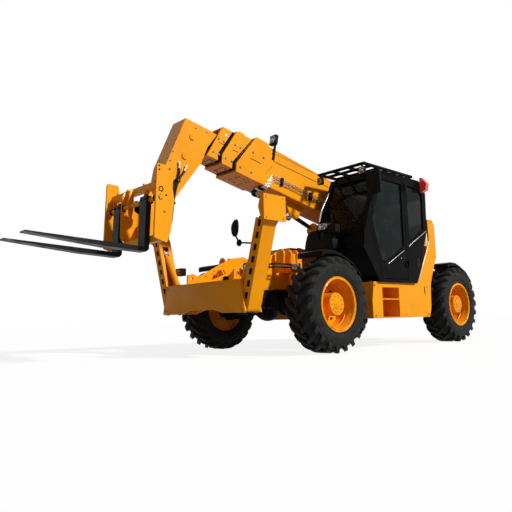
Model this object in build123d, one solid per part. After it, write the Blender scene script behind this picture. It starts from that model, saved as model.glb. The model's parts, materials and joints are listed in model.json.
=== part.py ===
from build123d import *
import os
from math import atan, cos, degrees, pi, radians, sin, sqrt

# Telescopic handler: four-section boom with a gooseneck and a fork carriage,
# two swing-down stabilisers at the nose, a cab on the left of the boom and an
# engine pod on the right, four equal steered wheels.
# Frame: +X forward, +Y left (cab side), +Z up, ground at Z = 0. The shapes are
# drawn from a datum just behind the rear axle; the export moves them so that the
# origin lies under the middle of the machine's box. Millimetres and degrees.

# ---- wheels, axles and steering ----
REAR_AXLE_X = 140
WHEELBASE = 3008
FRONT_AXLE_X = REAR_AXLE_X + WHEELBASE
TRACK_HALF = 1052           # centre of a tyre from the middle plane
TYRE_R = 582
TYRE_W = 394
TYRE_SIDES = 22             # facets round the carcass, and lugs on each half of the tread
TREAD_DEPTH = 40
LUG_W = 56
LUG_SLANT = 38              # from square across the tread
LUG_TAPER = 8
LUG_REACH = 84              # a lug's furthest corner round the tyre from its middle
SHOULDER = 35               # width of the slope from the tread to a sidewall
SIDEWALL_DROP = 130         # sidewall's outer edge in from the lugs' tips
RIM_R = 332                 # rim flange
RIM_LIP = 20                # flange above the bead seat
RIM_WALL = 14
RIM_INSET = 27              # rim flange back from the tyre's outer face
DISH_DEPTH = 250            # flange to the wheel disc
DISH_T = 22
HUB_R = 138
HUB_OUT = 145               # hub face outward from the tyre's middle plane
KING_Y = 800                # kingpins
KING_R = 48
KNUCKLE_R = 120
SPINDLE_R = 62
FIT = 0.3                   # running clearance on a pin or a turning face
AXLE_R = 92
DIFF_R = 185
YOKE_H = 150                # yoke arms above and below the axle line
ARCH_Z = 805                # chassis plates' lower edge over an axle
LEVEL_X = 112               # levelling rams, ahead of the front axle
LEVEL_Y = 590
GUARD_T = 8
GUARD_IN = 816              # mudguard edges, from the middle plane
GUARD_OUT = 1205
GUARD_BEND = 140
# Mudguard: x and z of its outer face from the axle, and the depth of its outer lip.
GUARD = ((252, 630, 66), (187, 654, 52), (0, 649, 42), (-138, 605, 25), (-334, 522, 22),
         (-501, 375, 22))

# ---- boom, in its own frame: s along it from the pivot, n square to it ----
PIVOT_X = -500
PIVOT_Z = 1880
BOOM_ANGLE = 12             # as parked
PIVOT_PIN_R = 42
BOOM_HALF_W = 196
BOOM_TOP = 96
BOOM_LOW = -465
BOOM_WALL = 9
STAGE_GAP = 20              # wear-pad gap between sections
COLLAR_RISE = 12
BOOM_TAIL = 190             # behind the pivot
STAGE_BACK = 110            # first inner section's tail ahead of the pivot
STAGE_STEP = 60             # and each one after it
NECK_DROP = 80              # innermost section's top, below the even gap
PIPE_R = 7
PIPE_BEND = 24

# ---- gooseneck and carriage ----
NECK_HALF_W = 135
NECK_WALL = 12
CARRIAGE_X = 5000
CARRIAGE_Z = 1480
CARRIAGE_TILT = 3
CARRIAGE_PIN_R = 35
NECK_END_R = 76
CARRIAGE_HALF_W = 562
CARRIAGE_PLATE_T = 25
FORK_Y = 290
FORK_W = 135
FORK_T = 50
FORK_LENGTH = 1237
FORK_SHAFT_R = 25

# ---- lift cylinder, in the middle plane ----
LIFT_BASE_X = -150
LIFT_BASE_Z = 900
LIFT_EYE_S = 3081           # rod pin on the boom, in the boom's frame
LIFT_EYE_N = -609
LIFT_BARREL = 2480
LIFT_PISTON = 1400          # piston from the foot eye, as parked
LIFT_R = 95
LIFT_ROD_R = 32
LIFT_EYE_R = 62
LIFT_PIN_R = 37

# ---- chassis ----
SPINE_Y = 250               # inner faces of the two long plates
PLATE_T = 25
BELLY_Z = 410
NOSE_Y = 450
NOSE_X = 4030               # front ends of the nose plates
NOSE_LUG_X = 4080           # tie-down hole in the lug above them
NOSE_LUG_Z = 975
NOSE_LUG_R = 20
REAR_X = -850

# ---- steps in the left side box ----
STEP_X = (1722, 2125)
STEP_DEPTH = 230
STEPS = ((406, 648), (656, 814))    # low, high

# ---- rear hitch ----
HITCH_X = -910
HITCH_LOW = 620
HITCH_HIGH = 660
HITCH_R = 16

# ---- stabilisers ----
LEG_BACK = 4058
LEG_FRONT = 4250
LEG_MIDDLE = (LEG_BACK + LEG_FRONT) / 2
LEG_SIDE_GAP = 8
FRONT_PLATE_T = 30
LEG_PIVOT_Y = 760
LEG_PIVOT_Z = 567
LEG_HALF_W = 67
LEG_WALL = 10
LEG_LENGTH = 1010
LEG_WINDOWS = 7
LEG_LEAN = 17               # outward from vertical, raised
LEG_PIN_R = 26
LEG_SLOT = 46               # half width of the slot that the ram passes
LEG_RAM_Y = 600             # ram foot
LEG_RAM_Z = 780
LEG_EYE_ALONG = 800         # ram eye along the leg, and inward from its middle
LEG_EYE_IN = 50
LEG_RAM_R = 40
LEG_RAM_ROD_R = 22
LEG_RAM_BARREL = 600
LEG_RAM_PISTON = 120        # piston from the foot eye, raised
LEG_RAM_EYE_R = 36

# ---- bodywork ----
SIDE_Y = 1151               # outer face of the side boxes
DECK_Z = 882                # top of the left side box, foot of the cab
CAB_IN = 374
CAB_OUT = 1190
CAB_TOP = 2406
CAB_WALL = 40
GLASS_T = 6
GLASS_IN = 17               # panes back from the walls' outer faces
DOOR_BACK = 1516
DOOR_GAP = 7
DOOR_HINGE_OUT = 14
POD_BACK = 870
POD_FRONT = 2340
POD_LOW = 560
POD_SEAM = 1200             # pod below, lid above
POD_TOP = 1490
POD_WALL = 8
LID_IN = 300
LID_HINGE_R = 12
MIRROR_OUT = 1396


# ---------------------------------------------------------------- helpers
def block(x, y, z):
    """A box between the (low, high) pairs x, y and z."""
    low = Vector(x[0], y[0], z[0])
    size = Vector(x[1], y[1], z[1]) - low
    return Pos(low + size / 2) * Box(*size)


def outline(points, radius):
    """A closed face through the points, with every corner rounded if radius is not 0."""
    if radius:
        return make_face(FilletPolyline(*points, radius=radius, close=True))
    return make_face(Polyline(*points, close=True))


def side_shape(points, y, radius=0):
    """The (x, z) outline, filled from y[0] to y[1]."""
    face = outline([(px, y[0], pz) for px, pz in points], radius)
    return extrude(face, amount=y[1] - y[0], dir=(0, 1, 0))


def front_shape(points, x, radius=0):
    """The (y, z) outline, filled from x[0] to x[1]."""
    face = outline([(x[0], py, pz) for py, pz in points], radius)
    return extrude(face, amount=x[1] - x[0], dir=(1, 0, 0))


def rod(start, end, radius):
    """A round bar from start to end."""
    way = Vector(*end) - Vector(*start)
    bar = Cylinder(radius, way.length, align=(Align.CENTER, Align.CENTER, Align.MIN))
    return Plane(origin=start, z_dir=way) * bar


def pin(x, z, y, radius):
    """A round bar along Y, from y[0] to y[1]."""
    return rod((x, y[0], z), (x, y[1], z), radius)


def both_sides(shape):
    """The shape and its mirror image across the middle plane."""
    return shape + mirror(shape, Plane.XZ)


def on_boom(shape):
    """From the boom's own frame to the machine's."""
    return Pos(PIVOT_X, 0, PIVOT_Z) * Rot(0, -BOOM_ANGLE, 0) * shape


def on_carriage(shape):
    """From the carriage's own frame, upright at its pivot, to the machine's."""
    return Pos(CARRIAGE_X, 0, CARRIAGE_Z) * Rot(0, -CARRIAGE_TILT, 0) * shape


def boom_point(s, n):
    """The machine's (x, z) of a point (s, n) of the parked boom."""
    angle = radians(BOOM_ANGLE)
    return (PIVOT_X + s * cos(angle) - n * sin(angle), PIVOT_Z + s * sin(angle) + n * cos(angle))


def ram_barrel(length, radius, rod_radius, eye_radius, pin_radius, width):
    """Cylinder barrel along +X from its foot eye at the origin, eye axis Z."""
    wall = radius * 0.2
    inside = (2 * eye_radius, length - 2 * rod_radius)
    body = rod((eye_radius * 0.5, 0, 0), (length, 0, 0), radius)
    body -= rod((inside[0], 0, 0), (inside[1], 0, 0), radius - wall)
    body -= rod((inside[1] - 1, 0, 0), (length + 1, 0, 0), rod_radius + FIT)
    body += Cylinder(eye_radius, width)
    return body - Cylinder(pin_radius + FIT, 4 * radius)


def ram_rod(reach, inside, radius, bore, eye_radius, pin_radius, width):
    """Piston rod along +X, its eye at reach and its piston at inside."""
    body = rod((inside, 0, 0), (reach - eye_radius * 0.5, 0, 0), radius)
    body += rod((inside, 0, 0), (inside + radius, 0, 0), bore - FIT)
    body += Pos(reach, 0, 0) * Cylinder(eye_radius, width)
    return body - Pos(reach, 0, 0) * Cylinder(pin_radius + FIT, 4 * eye_radius)


# ---------------------------------------------------------------- wheels
def facets(radius, z):
    """A many-sided face square to Z, its sides' middles at the radius, a quarter step round."""
    return Pos(0, 0, z) * Rot(0, 0, 90 / TYRE_SIDES) * RegularPolygon(
        radius / cos(pi / TYRE_SIDES), TYRE_SIDES)


def frustum(plane, foot, top, height):
    """A block between two rectangles of the given (length, width), square to the plane."""
    loops = []
    for (length, width), z in ((foot, 0), (top, height)):
        a, b = length / 2, width / 2
        loops.append([plane.from_local_coords(Vector(x, y, z))
                      for x, y in ((-a, -b), (a, -b), (a, b), (-a, b))])
    low, high = loops
    loops += [[low[i - 1], low[i], high[i], high[i - 1]] for i in range(4)]
    return Solid(Shell([outline(loop, 0).faces()[0] for loop in loops]))


def lug(side, top):
    """One tread lug at angle 0 on the given half of the tread, up to X = top."""
    slant = radians(LUG_SLANT)
    foot = TYRE_R - 115
    spread = 2 * (top - foot) * sin(radians(LUG_TAPER)) / cos(radians(LUG_TAPER))
    outer = TYRE_W / 2 - 23
    inner = -15
    length = (outer - inner - LUG_W * sin(slant)) / cos(slant)
    plane = Plane(origin=(foot, 0, side * (outer + inner) / 2),
                  x_dir=(0, -sin(slant), side * cos(slant)), z_dir=(1, 0, 0))
    return frustum(plane, (length + spread, LUG_W + spread), (length, LUG_W), top - foot)


def tyre():
    """Tyre about +Z, its middle plane at Z = 0, its two rows of lugs half a step apart."""
    half = TYRE_W / 2
    shoulder = half - SHOULDER
    base = (TYRE_R - TREAD_DEPTH) * cos(pi / TYRE_SIDES)
    drop = base - (TYRE_R - SIDEWALL_DROP)
    tread = extrude(facets(base, -shoulder), amount=2 * shoulder)
    wall = extrude(facets(base, shoulder), amount=SHOULDER, taper=degrees(atan(drop / SHOULDER)))
    body = tread + wall + mirror(wall, Plane.XY)
    body -= extrude(facets(RIM_R + FIT, -half - 1), amount=TYRE_W + 2)
    top = sqrt(TYRE_R ** 2 - LUG_REACH ** 2)
    lugs = []
    for step in range(TYRE_SIDES):
        for side, phase in ((1, 0), (-1, 0.5)):
            lugs.append(Rot(0, 0, 360 * (step + phase) / TYRE_SIDES) * lug(side, top))
    return body + lugs


def rim():
    """Rim, disc and hub drum about +Z, outer side up."""
    lip = TYRE_W / 2 - RIM_INSET
    barrel = RIM_R - RIM_LIP
    well = barrel - RIM_WALL
    disc = lip - DISH_DEPTH
    hub_back = disc - 35
    bore = disc + DISH_T + 80
    section = Polyline(
        (barrel, lip - 12), (RIM_R, lip - 12), (RIM_R, lip), (well, lip),
        (well - 22, disc + DISH_T), (HUB_R, disc + DISH_T), (HUB_R, HUB_OUT - 10),
        (HUB_R - 10, HUB_OUT), (0, HUB_OUT), (0, bore), (SPINDLE_R + FIT, bore),
        (SPINDLE_R + FIT, hub_back), (HUB_R, hub_back), (HUB_R, disc), (well - 22, disc),
        (well, disc - 20), (well, 12 - lip), (barrel, 12 - lip), close=True)
    return revolve(Plane.XZ * make_face(section), Axis.Z)


DISC_Y = TRACK_HALF + TYRE_W / 2 - RIM_INSET - DISH_DEPTH - 35    # wheel's inner hub face


def wheel_place(axle_x, side):
    """Where a wheel drawn about +Z goes, its outer side away from the machine."""
    return Pos(axle_x, side * TRACK_HALF, TYRE_R) * Rot(-90 * side, 0, 0)


def axle(x, lug_y=None):
    """Axle housing with a yoke at each end, open for the knuckle, and lugs for levelling rams."""
    root = KING_Y - KNUCKLE_R - 40
    body = pin(x, TYRE_R, (-root, root), AXLE_R)
    body += Pos(x, 0, TYRE_R) * Sphere(DIFF_R)
    arm = block((x - 70, x + 70), (root - 20, root + 20), (TYRE_R - YOKE_H, TYRE_R + YOKE_H))
    for low, high in ((-YOKE_H, 35 - YOKE_H), (YOKE_H - 35, YOKE_H)):
        arm += block((x - 60, x + 60), (root + 19, KING_Y), (TYRE_R + low, TYRE_R + high))
        arm += Pos(x, KING_Y, TYRE_R + (low + high) / 2) * Cylinder(60, high - low)
    arm += Pos(x, KING_Y, TYRE_R) * Cylinder(KING_R, 2 * YOKE_H - 1)
    arm += block((x - 110, x + 110), (SPINE_Y - 40, SPINE_Y + PLATE_T + 15), (TYRE_R, ARCH_Z))
    if lug_y:
        arm += block((x, x + LEVEL_X + 40), (lug_y - 30, lug_y + 30), (TYRE_R - 25, TYRE_R + 40))
    return body + both_sides(arm)


def guard_strip(depths, y):
    """A strip below the mudguard's outer line, as deep as given at each of its points."""
    high = FilletPolyline(*[(x, y[0], z) for x, z, _ in GUARD], radius=GUARD_BEND)
    low = FilletPolyline(*[(x, y[0], z - depth) for (x, z, _), depth in zip(GUARD, depths)],
                         radius=GUARD_BEND)
    face = make_face([*high.edges(), *low.edges(), Line(high @ 0, low @ 0), Line(high @ 1, low @ 1)])
    return extrude(face, amount=y[1] - y[0], dir=(0, 1, 0))


def knuckle():
    """Left knuckle with its spindle and mudguard, its kingpin on the Z axis at the axle's height."""
    inner = YOKE_H - 35 - FIT
    body = Cylinder(KNUCKLE_R - 32, 2 * inner)
    body += rod((0, 0, 0), (0, DISC_Y - KING_Y - FIT, 0), KNUCKLE_R - 12)
    body += rod((0, 0, 0), (0, DISC_Y - KING_Y + 100, 0), SPINDLE_R)
    wide = (GUARD_IN - KING_Y, GUARD_OUT - KING_Y)
    guard = guard_strip([GUARD_T] * len(GUARD), wide)
    guard += guard_strip([depth for _, _, depth in GUARD], (wide[1] - GUARD_T, wide[1]))
    tip, tip_z, tip_depth = GUARD[0]
    guard += block((tip - GUARD_T, tip), wide, (tip_z - tip_depth, tip_z - GUARD_T / 2))
    stay = block((-150, -60), (-30, 10), (20, 90)) + block((-150, -110), (-20, 40), (20, 597))
    return body + guard + stay - Cylinder(KING_R + FIT, 3 * YOKE_H)


# ---------------------------------------------------------------- chassis
NOSE_WALLS = ((2950, 830, 1170), (3560, 820, 1040), (NOSE_X - PLATE_T, 564, 890))   # x, low, high
FLOOR_X = (REAR_AXLE_X + 430, FRONT_AXLE_X - 383)
SPINE_WALLS = ((FLOOR_X[0], BELLY_Z, 760), (FLOOR_X[1] - PLATE_T, BELLY_Z, 760), (-640, 490, 1000))


def arch(x):
    """Corners of a chassis plate's lower edge over the axle at x, front to back."""
    return [(x + 290, ARCH_Z), (x - 290, ARCH_Z)]


def spine_plates():
    """The two long chassis plates, with the boom tower at the back."""
    plate = side_shape([
        (-640, 480), (-640, 1000), (-690, 1900), (-610, 2060), (-390, 2060), (-300, 1850),
        (-60, 1330), (220, 1130), (2700, 1110), (2950, 1180), (3170, 1200), (3600, 1060),
        (NOSE_X, 900), (NOSE_X, 564), (3740, 564), (3654, 568), (3520, ARCH_Z),
        *arch(FRONT_AXLE_X), (FRONT_AXLE_X - 370, BELLY_Z), (REAR_AXLE_X + 430, BELLY_Z),
        *arch(REAR_AXLE_X), (REAR_AXLE_X - 420, 500)], (SPINE_Y, SPINE_Y + PLATE_T))
    plate += pin(PIVOT_X, PIVOT_Z, (SPINE_Y + PLATE_T, SPINE_Y + 48), 95)
    plate -= pin(PIVOT_X, PIVOT_Z, (0, NOSE_Y), PIVOT_PIN_R + FIT)
    plate -= pin(LIFT_BASE_X, LIFT_BASE_Z, (0, NOSE_Y), LIFT_PIN_R + FIT)
    return both_sides(plate)


def nose_plates():
    """The two outer plates of the nose with their walls and tie-down lugs."""
    plate = side_shape([
        (2950, 1250), (3170, 1313), (3400, 1278), (3970, 1000), (4050, 1040), (4140, 1020),
        (4150, 908), (NOSE_X, 900), (NOSE_X, 564), (3740, 564), (3654, 568), (3520, ARCH_Z),
        (2950, 830)], (NOSE_Y, NOSE_Y + PLATE_T))
    plate -= pin(NOSE_LUG_X, NOSE_LUG_Z, (NOSE_Y - 1, NOSE_Y + PLATE_T + 1), NOSE_LUG_R)
    for x, low, high in NOSE_WALLS:
        plate += block((x, x + PLATE_T), (SPINE_Y + PLATE_T, NOSE_Y + 1), (low, high))
    return both_sides(plate)


def cross_members():
    """Walls, floor and bars between the long plates, and the boom's and lift cylinder's pins."""
    frame = block(FLOOR_X, (-SPINE_Y, SPINE_Y), (BELLY_Z, BELLY_Z + 15))
    for x, low, high in NOSE_WALLS + SPINE_WALLS:
        frame += block((x, x + PLATE_T), (-SPINE_Y, SPINE_Y), (low, high))
    for x in (-270, 60, 2900, 3180):
        frame += block((x - 20, x + 20), (-SPINE_Y, SPINE_Y), (ARCH_Z, ARCH_Z + 30))
    lug = side_shape([(LIFT_BASE_X - 140, ARCH_Z), (LIFT_BASE_X + 230, ARCH_Z),
                      (LIFT_BASE_X + 60, LIFT_BASE_Z + 90), (LIFT_BASE_X - 60, LIFT_BASE_Z + 90)],
                     (LIFT_R + 6, LIFT_R + 30))
    frame += both_sides(lug)
    reach = SPINE_Y + 60
    frame += pin(LIFT_BASE_X, LIFT_BASE_Z, (-reach + 30, reach - 30), LIFT_PIN_R)
    return frame + pin(PIVOT_X, PIVOT_Z, (-reach, reach), PIVOT_PIN_R)


def levelling_rams():
    """Brackets and upright rams between the nose plates and the front axle."""
    x = FRONT_AXLE_X + LEVEL_X
    root = NOSE_Y + PLATE_T
    edge = LEVEL_Y + 50
    pair = block((x - 60, x + 60), (root, edge), (1000, 1022))
    pair += rod((x, LEVEL_Y, 760), (x, LEVEL_Y, 1240), 42)
    pair += rod((x, LEVEL_Y, TYRE_R + 40), (x, LEVEL_Y, 1000), 26)
    for place in (x - 72, x + 50, x + 180):
        pair += front_shape([(root, 1000), (edge, 1000), (edge, 1300), (545, 1300), (root, 1180)],
                            (place, place + 22))
    return both_sides(pair)


def stabiliser_frame():
    """Front plate and back plate of the stabiliser crosspiece, with the leg and ram pins."""
    top = 886
    low = 509
    front = [(-815, low), (-741, top), (741, top), (815, low), (420, low), (230, low + 45),
             (-230, low + 45), (-420, low)]
    face_x = LEG_FRONT + LEG_SIDE_GAP
    back_x = LEG_BACK - LEG_SIDE_GAP
    between = (back_x, face_x)
    frame = front_shape(front, (face_x, face_x + FRONT_PLATE_T), 25)
    frame += front_shape(front, (NOSE_X, back_x))
    for z in (low + 50, top - 15):
        frame += block(between, (-500, 500), (z, z + 15))
    for y in (-500, 0, 500):
        frame += block(between, (y - 8, y + 8), (low + 50, top))
    for side in (-1, 1):
        for y, z, radius in ((LEG_PIVOT_Y, LEG_PIVOT_Z, LEG_PIN_R),
                             (LEG_RAM_Y, LEG_RAM_Z, LEG_RAM_EYE_R * 0.5)):
            frame += rod((back_x, side * y, z), (face_x, side * y, z), radius)
    return frame


def leg_point(along, inward):
    """The (y, z) of a point on the raised left leg."""
    lean = radians(LEG_LEAN)
    return (LEG_PIVOT_Y + along * sin(lean) - inward * cos(lean),
            LEG_PIVOT_Z + along * cos(lean) + inward * sin(lean))


def leg():
    """Left stabiliser leg, raised: a box with windows in front, slotted behind for its ram."""
    def piece(along, inward, x):
        corners = [(along[0], inward[0]), (along[1], inward[0]),
                   (along[1], inward[1]), (along[0], inward[1])]
        return front_shape([leg_point(*corner) for corner in corners], x)

    depth = (LEG_BACK, LEG_FRONT)
    half = LEG_HALF_W
    open_end = -half - 1
    body = piece((0, LEG_LENGTH), (-half, half), depth)
    body += rod((LEG_BACK, LEG_PIVOT_Y, LEG_PIVOT_Z), (LEG_FRONT, LEG_PIVOT_Y, LEG_PIVOT_Z), half)
    body -= piece((open_end, LEG_LENGTH - LEG_WALL), (LEG_WALL - half, half - LEG_WALL),
                  (LEG_BACK + LEG_WALL, LEG_FRONT - LEG_WALL))
    body -= piece((open_end, LEG_LENGTH - 110), (0, half + 1),
                  (LEG_MIDDLE - LEG_SLOT, LEG_MIDDLE + LEG_SLOT))
    for step in range(LEG_WINDOWS):
        along = 99 + (LEG_LENGTH - 53) * step / LEG_WINDOWS
        body -= piece((along, along + 74), (-25, 25), (LEG_FRONT - 2 * LEG_WALL, LEG_FRONT + 1))
    out = LEG_WALL / 2 - half
    for low, high in ((-42, -28), (28, 42)):
        body += front_shape([leg_point(LEG_EYE_ALONG - 90, out), leg_point(LEG_EYE_ALONG + 90, out),
                             leg_point(LEG_EYE_ALONG + 34, LEG_EYE_IN + 36),
                             leg_point(LEG_EYE_ALONG - 34, LEG_EYE_IN + 36)],
                            (LEG_MIDDLE + low, LEG_MIDDLE + high))
    body += front_shape([leg_point(LEG_LENGTH - 80, 2 - half), (1150, 1500), (1150, 1785), (1065, 1785),
                         leg_point(LEG_LENGTH + 120, half)], depth)
    body += block((3960, 4300), (1150, 1172), (1500, 1785))
    return body - rod((LEG_BACK - 1, LEG_PIVOT_Y, LEG_PIVOT_Z),
                      (LEG_FRONT + 1, LEG_PIVOT_Y, LEG_PIVOT_Z), LEG_PIN_R + FIT)


def leg_ram_plane():
    """The left leg ram's plane: foot at its origin, X towards the eye, Z along the machine."""
    eye_y, eye_z = leg_point(LEG_EYE_ALONG, LEG_EYE_IN)
    way = Vector(0, eye_y - LEG_RAM_Y, eye_z - LEG_RAM_Z)
    foot = (LEG_MIDDLE, LEG_RAM_Y, LEG_RAM_Z)
    return Plane(origin=foot, x_dir=way, z_dir=(1, 0, 0)), way.length


def leg_ram():
    """Barrel and rod of the left leg's ram."""
    plane, reach = leg_ram_plane()
    barrel = ram_barrel(LEG_RAM_BARREL, LEG_RAM_R, LEG_RAM_ROD_R, LEG_RAM_EYE_R,
                        LEG_RAM_EYE_R * 0.5, 54)
    piston = ram_rod(reach, LEG_RAM_PISTON, LEG_RAM_ROD_R, LEG_RAM_R * 0.8,
                     LEG_RAM_EYE_R, LEG_RAM_EYE_R * 0.5, 50)
    return plane * barrel, plane * piston


def counterweight():
    """Cast weight behind the rear axle, narrow between the wheels, with the tow hitch."""
    slab = front_shape([(-900, 620), (-950, 700), (-950, 1060), (-820, 1180), (820, 1180),
                        (950, 1060), (950, 700), (900, 620)], (REAR_X, REAR_X + 100))
    core = side_shape([(REAR_X + 99, 520), (-640, 520), (-640, 995), (REAR_X + 99, 1120)],
                      (-430, 430))
    hitch = block((HITCH_X - 50, REAR_X + 1), (-70, 70), (HITCH_LOW, HITCH_HIGH))
    return slab + core + hitch - Pos(HITCH_X, 0, HITCH_HIGH) * Cylinder(HITCH_R, 200)


def left_side_box():
    """Tank and step box between the left wheels, with two step pockets."""
    front = FRONT_AXLE_X - 798
    back = REAR_AXLE_X + 708
    box = side_shape([(back + 80, 399), (front, 399), (front + 9, 621), (front - 42, DECK_Z),
                      (back, DECK_Z), (back + 26, 527)], (SPINE_Y + PLATE_T, SIDE_Y))
    for low, high in STEPS:
        box -= block(STEP_X, (SIDE_Y - STEP_DEPTH, SIDE_Y + 1), (low, high))
    return box


def rear_panel():
    """Body panel and tank behind the cab's sloping back."""
    panel = side_shape([(848, DECK_Z), (1223, DECK_Z), (818, 1521), (842, 1864), (695, 1873),
                        (638, 1788), (632, 1302), (718, 1161)], (SIDE_Y - 25, SIDE_Y))
    tank = side_shape([(862, DECK_Z), (1206, DECK_Z), (902, 1384), (862, 1462)],
                      (SPINE_Y + PLATE_T + 200, SIDE_Y - 25))
    return panel + tank


# ---------------------------------------------------------------- cab
CAB_SIDE = [(1290, DECK_Z), (2214, DECK_Z), (2548, 1325), (2526, 1536), (2141, CAB_TOP),
            (1074, CAB_TOP), (916, 2249), (936, 1669)]
DOOR_SHAPE = [(DOOR_BACK, 927), (2140, 899 + CAB_WALL / 2), (2401, 1727), (2106, 2385),
              (DOOR_BACK, 2362)]
DOOR_LIGHT = [(1575, 1384), (2022, 1138), (2165, 1168), (2340, 1727), (2084, 2303), (1575, 2303)]
QUARTER_LIGHT = [(1456, 1433), (1456, 2303), (1083, 2303), (1005, 2224), (1022, 1669)]
INNER_LIGHT = [(1022, 1679), (2401, 1580), (2430, 1620), (2101, 2313), (1108, 2313), (1005, 2210)]
SCREEN_LOW = (2504, 1585)
SCREEN_HIGH = (2173, 2335)
REAR_LIGHT_Z = (1757, 2170)
REAR_LIGHT_X = 940
ROOF_LIGHT_X = (1299, 2007)
HOLLOW_Y = (CAB_IN + CAB_WALL, CAB_OUT - CAB_WALL)
DOOR_HINGES = (1100, 2200)      # lower ends


def shrunk(points, by, y):
    """The (x, z) outline moved in by the given amount all round, filled from y[0] to y[1]."""
    face = make_face(Polyline(*[(px, pz, 0) for px, pz in points], close=True))
    inner = offset(face, -by, kind=Kind.INTERSECTION)
    return Pos(0, y[1], 0) * Rot(90, 0, 0) * extrude(inner, amount=y[1] - y[0])


def leaning_pane(low, high, thickness, y):
    """A sheet from the (x, z) point low to high, between the two y values."""
    along = (Vector(*high) - Vector(*low)).normalized()
    out = Vector(along.Y, -along.X) * thickness / 2
    corners = [Vector(*low) - out, Vector(*low) + out, Vector(*high) + out, Vector(*high) - out]
    return side_shape([(c.X, c.Y) for c in corners], y)


def cab_left_side():
    """Outer side wall of the cab, open at the door and the quarter window, with hinge lugs."""
    wall = (HOLLOW_Y[1], CAB_OUT)
    through = (HOLLOW_Y[1] - 1, CAB_OUT + 1)
    side = side_shape(CAB_SIDE, wall)
    side -= side_shape(DOOR_SHAPE, through)
    side -= side_shape(QUARTER_LIGHT, through)
    for z in DOOR_HINGES:
        side += block((DOOR_BACK - 45, DOOR_BACK), (CAB_OUT - 1, CAB_OUT + 12), (z + 61, z + 95))
        side += Pos(DOOR_BACK, CAB_OUT + DOOR_HINGE_OUT, z + 78) * Cylinder(11, 34)
    return side


def cab_right_side():
    """Inner side wall of the cab beside the boom, with its window."""
    side = side_shape(CAB_SIDE, (CAB_IN, HOLLOW_Y[0]))
    return side - side_shape(INNER_LIGHT, (CAB_IN - 1, HOLLOW_Y[0] + 1))


def cab_shell():
    """Floor, front, roof and back of the cab between its side walls, open at the windows."""
    shell = side_shape(CAB_SIDE, HOLLOW_Y)
    shell -= shrunk(CAB_SIDE, CAB_WALL, (HOLLOW_Y[0] - 1, HOLLOW_Y[1] + 1))
    light = (HOLLOW_Y[0] + 15, HOLLOW_Y[1] - 15)
    shell -= leaning_pane(SCREEN_LOW, SCREEN_HIGH, 200, light)
    shell -= block((800, 1050), light, REAR_LIGHT_Z)
    return shell - block(ROOF_LIGHT_X, (light[0] + 40, light[1] - 40),
                         (CAB_TOP - CAB_WALL - 1, CAB_TOP + 1))


def cab_glass():
    """Windscreen, inner side, quarter, rear and roof panes."""
    light = (HOLLOW_Y[0] + 15 + FIT, HOLLOW_Y[1] - 15 - FIT)
    way = (Vector(*SCREEN_HIGH) - Vector(*SCREEN_LOW)).normalized()
    inward = Vector(-way.Y, way.X) * GLASS_IN
    low = Vector(*SCREEN_LOW) + way * FIT + inward
    high = Vector(*SCREEN_HIGH) - way * FIT + inward
    panes = leaning_pane((low.X, low.Y), (high.X, high.Y), GLASS_T, light)
    panes += shrunk(INNER_LIGHT, FIT, (CAB_IN + GLASS_IN, CAB_IN + GLASS_IN + GLASS_T))
    panes += shrunk(QUARTER_LIGHT, FIT, (CAB_OUT - GLASS_IN - GLASS_T, CAB_OUT - GLASS_IN))
    panes += block((REAR_LIGHT_X, REAR_LIGHT_X + GLASS_T), light,
                   (REAR_LIGHT_Z[0] + FIT, REAR_LIGHT_Z[1] - FIT))
    top = CAB_TOP - GLASS_IN
    return panes + block((ROOF_LIGHT_X[0] + FIT, ROOF_LIGHT_X[1] - FIT),
                         (light[0] + 40, light[1] - 40), (top - GLASS_T, top))


def door_frame():
    """Cab door, hinged at its back edge."""
    door = shrunk(DOOR_SHAPE, DOOR_GAP, (CAB_OUT - CAB_WALL, CAB_OUT))
    door -= side_shape(DOOR_LIGHT, (CAB_OUT - CAB_WALL - 1, CAB_OUT + 1))
    for z in DOOR_HINGES:
        door += block((DOOR_BACK + DOOR_GAP, DOOR_BACK + 60), (CAB_OUT - 1, CAB_OUT + 12), (z, z + 60))
        door += Pos(DOOR_BACK, CAB_OUT + DOOR_HINGE_OUT, z + 30) * Cylinder(11, 60)
    return door


def door_glass():
    """Door pane."""
    return shrunk(DOOR_LIGHT, FIT, (CAB_OUT - GLASS_IN - GLASS_T, CAB_OUT - GLASS_IN))


def cab_seat():
    """Seat base, cushion and backrest."""
    seat = block((1360, 1730), (600, 970), (DECK_Z + CAB_WALL, 1168))
    seat += block((1320, 1810), (550, 1020), (1168, 1276))
    return seat + side_shape([(1300, 1276), (1440, 1276), (1310, 1955), (1212, 1955)],
                             (560, 1010), 20)


def cab_console():
    """Dashboard, steering column and wheel."""
    floor = DECK_Z + CAB_WALL
    dash = side_shape([(2067, floor), (2180, floor), (2430, 1286), (2410, 1462), (2302, 1482),
                       (2155, 1335)], (580, 993))
    hub = (2081, 787, 1620)
    way = (-172, 0, 236)
    dash += rod((2253, 787, 1384), hub, 28)
    dash += Plane(origin=hub, z_dir=way) * Torus(182, 14)
    return dash + Plane(origin=hub, z_dir=way) * Box(30, 360, 12)


def roof_guard():
    """Falling-object guard of bars over the roof."""
    back, front = 1251, 2450
    low = CAB_TOP + 30
    high = CAB_TOP + 64
    near, far = CAB_OUT, CAB_IN + 15
    guard = block((back, front), (far, near), (low, high))
    guard -= block((back + 35, front - 35), (far + 35, near - 35), (low - 1, high + 1))
    spaces = 6
    for step in range(1, spaces):
        x = back + (front - back) * step / spaces
        guard += block((x - 15, x + 15), (far, near), (low, high))
    for y in (far + 260, far + 520):
        guard += block((back, front), (y - 12, y + 12), (low, high))
    for x in (back, back + (front - back) * 4 / spaces - 15):
        for y in (far + 40, near - 60):
            guard += block((x, x + 30), (y, y + 20), (CAB_TOP, low))
    return guard


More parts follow.
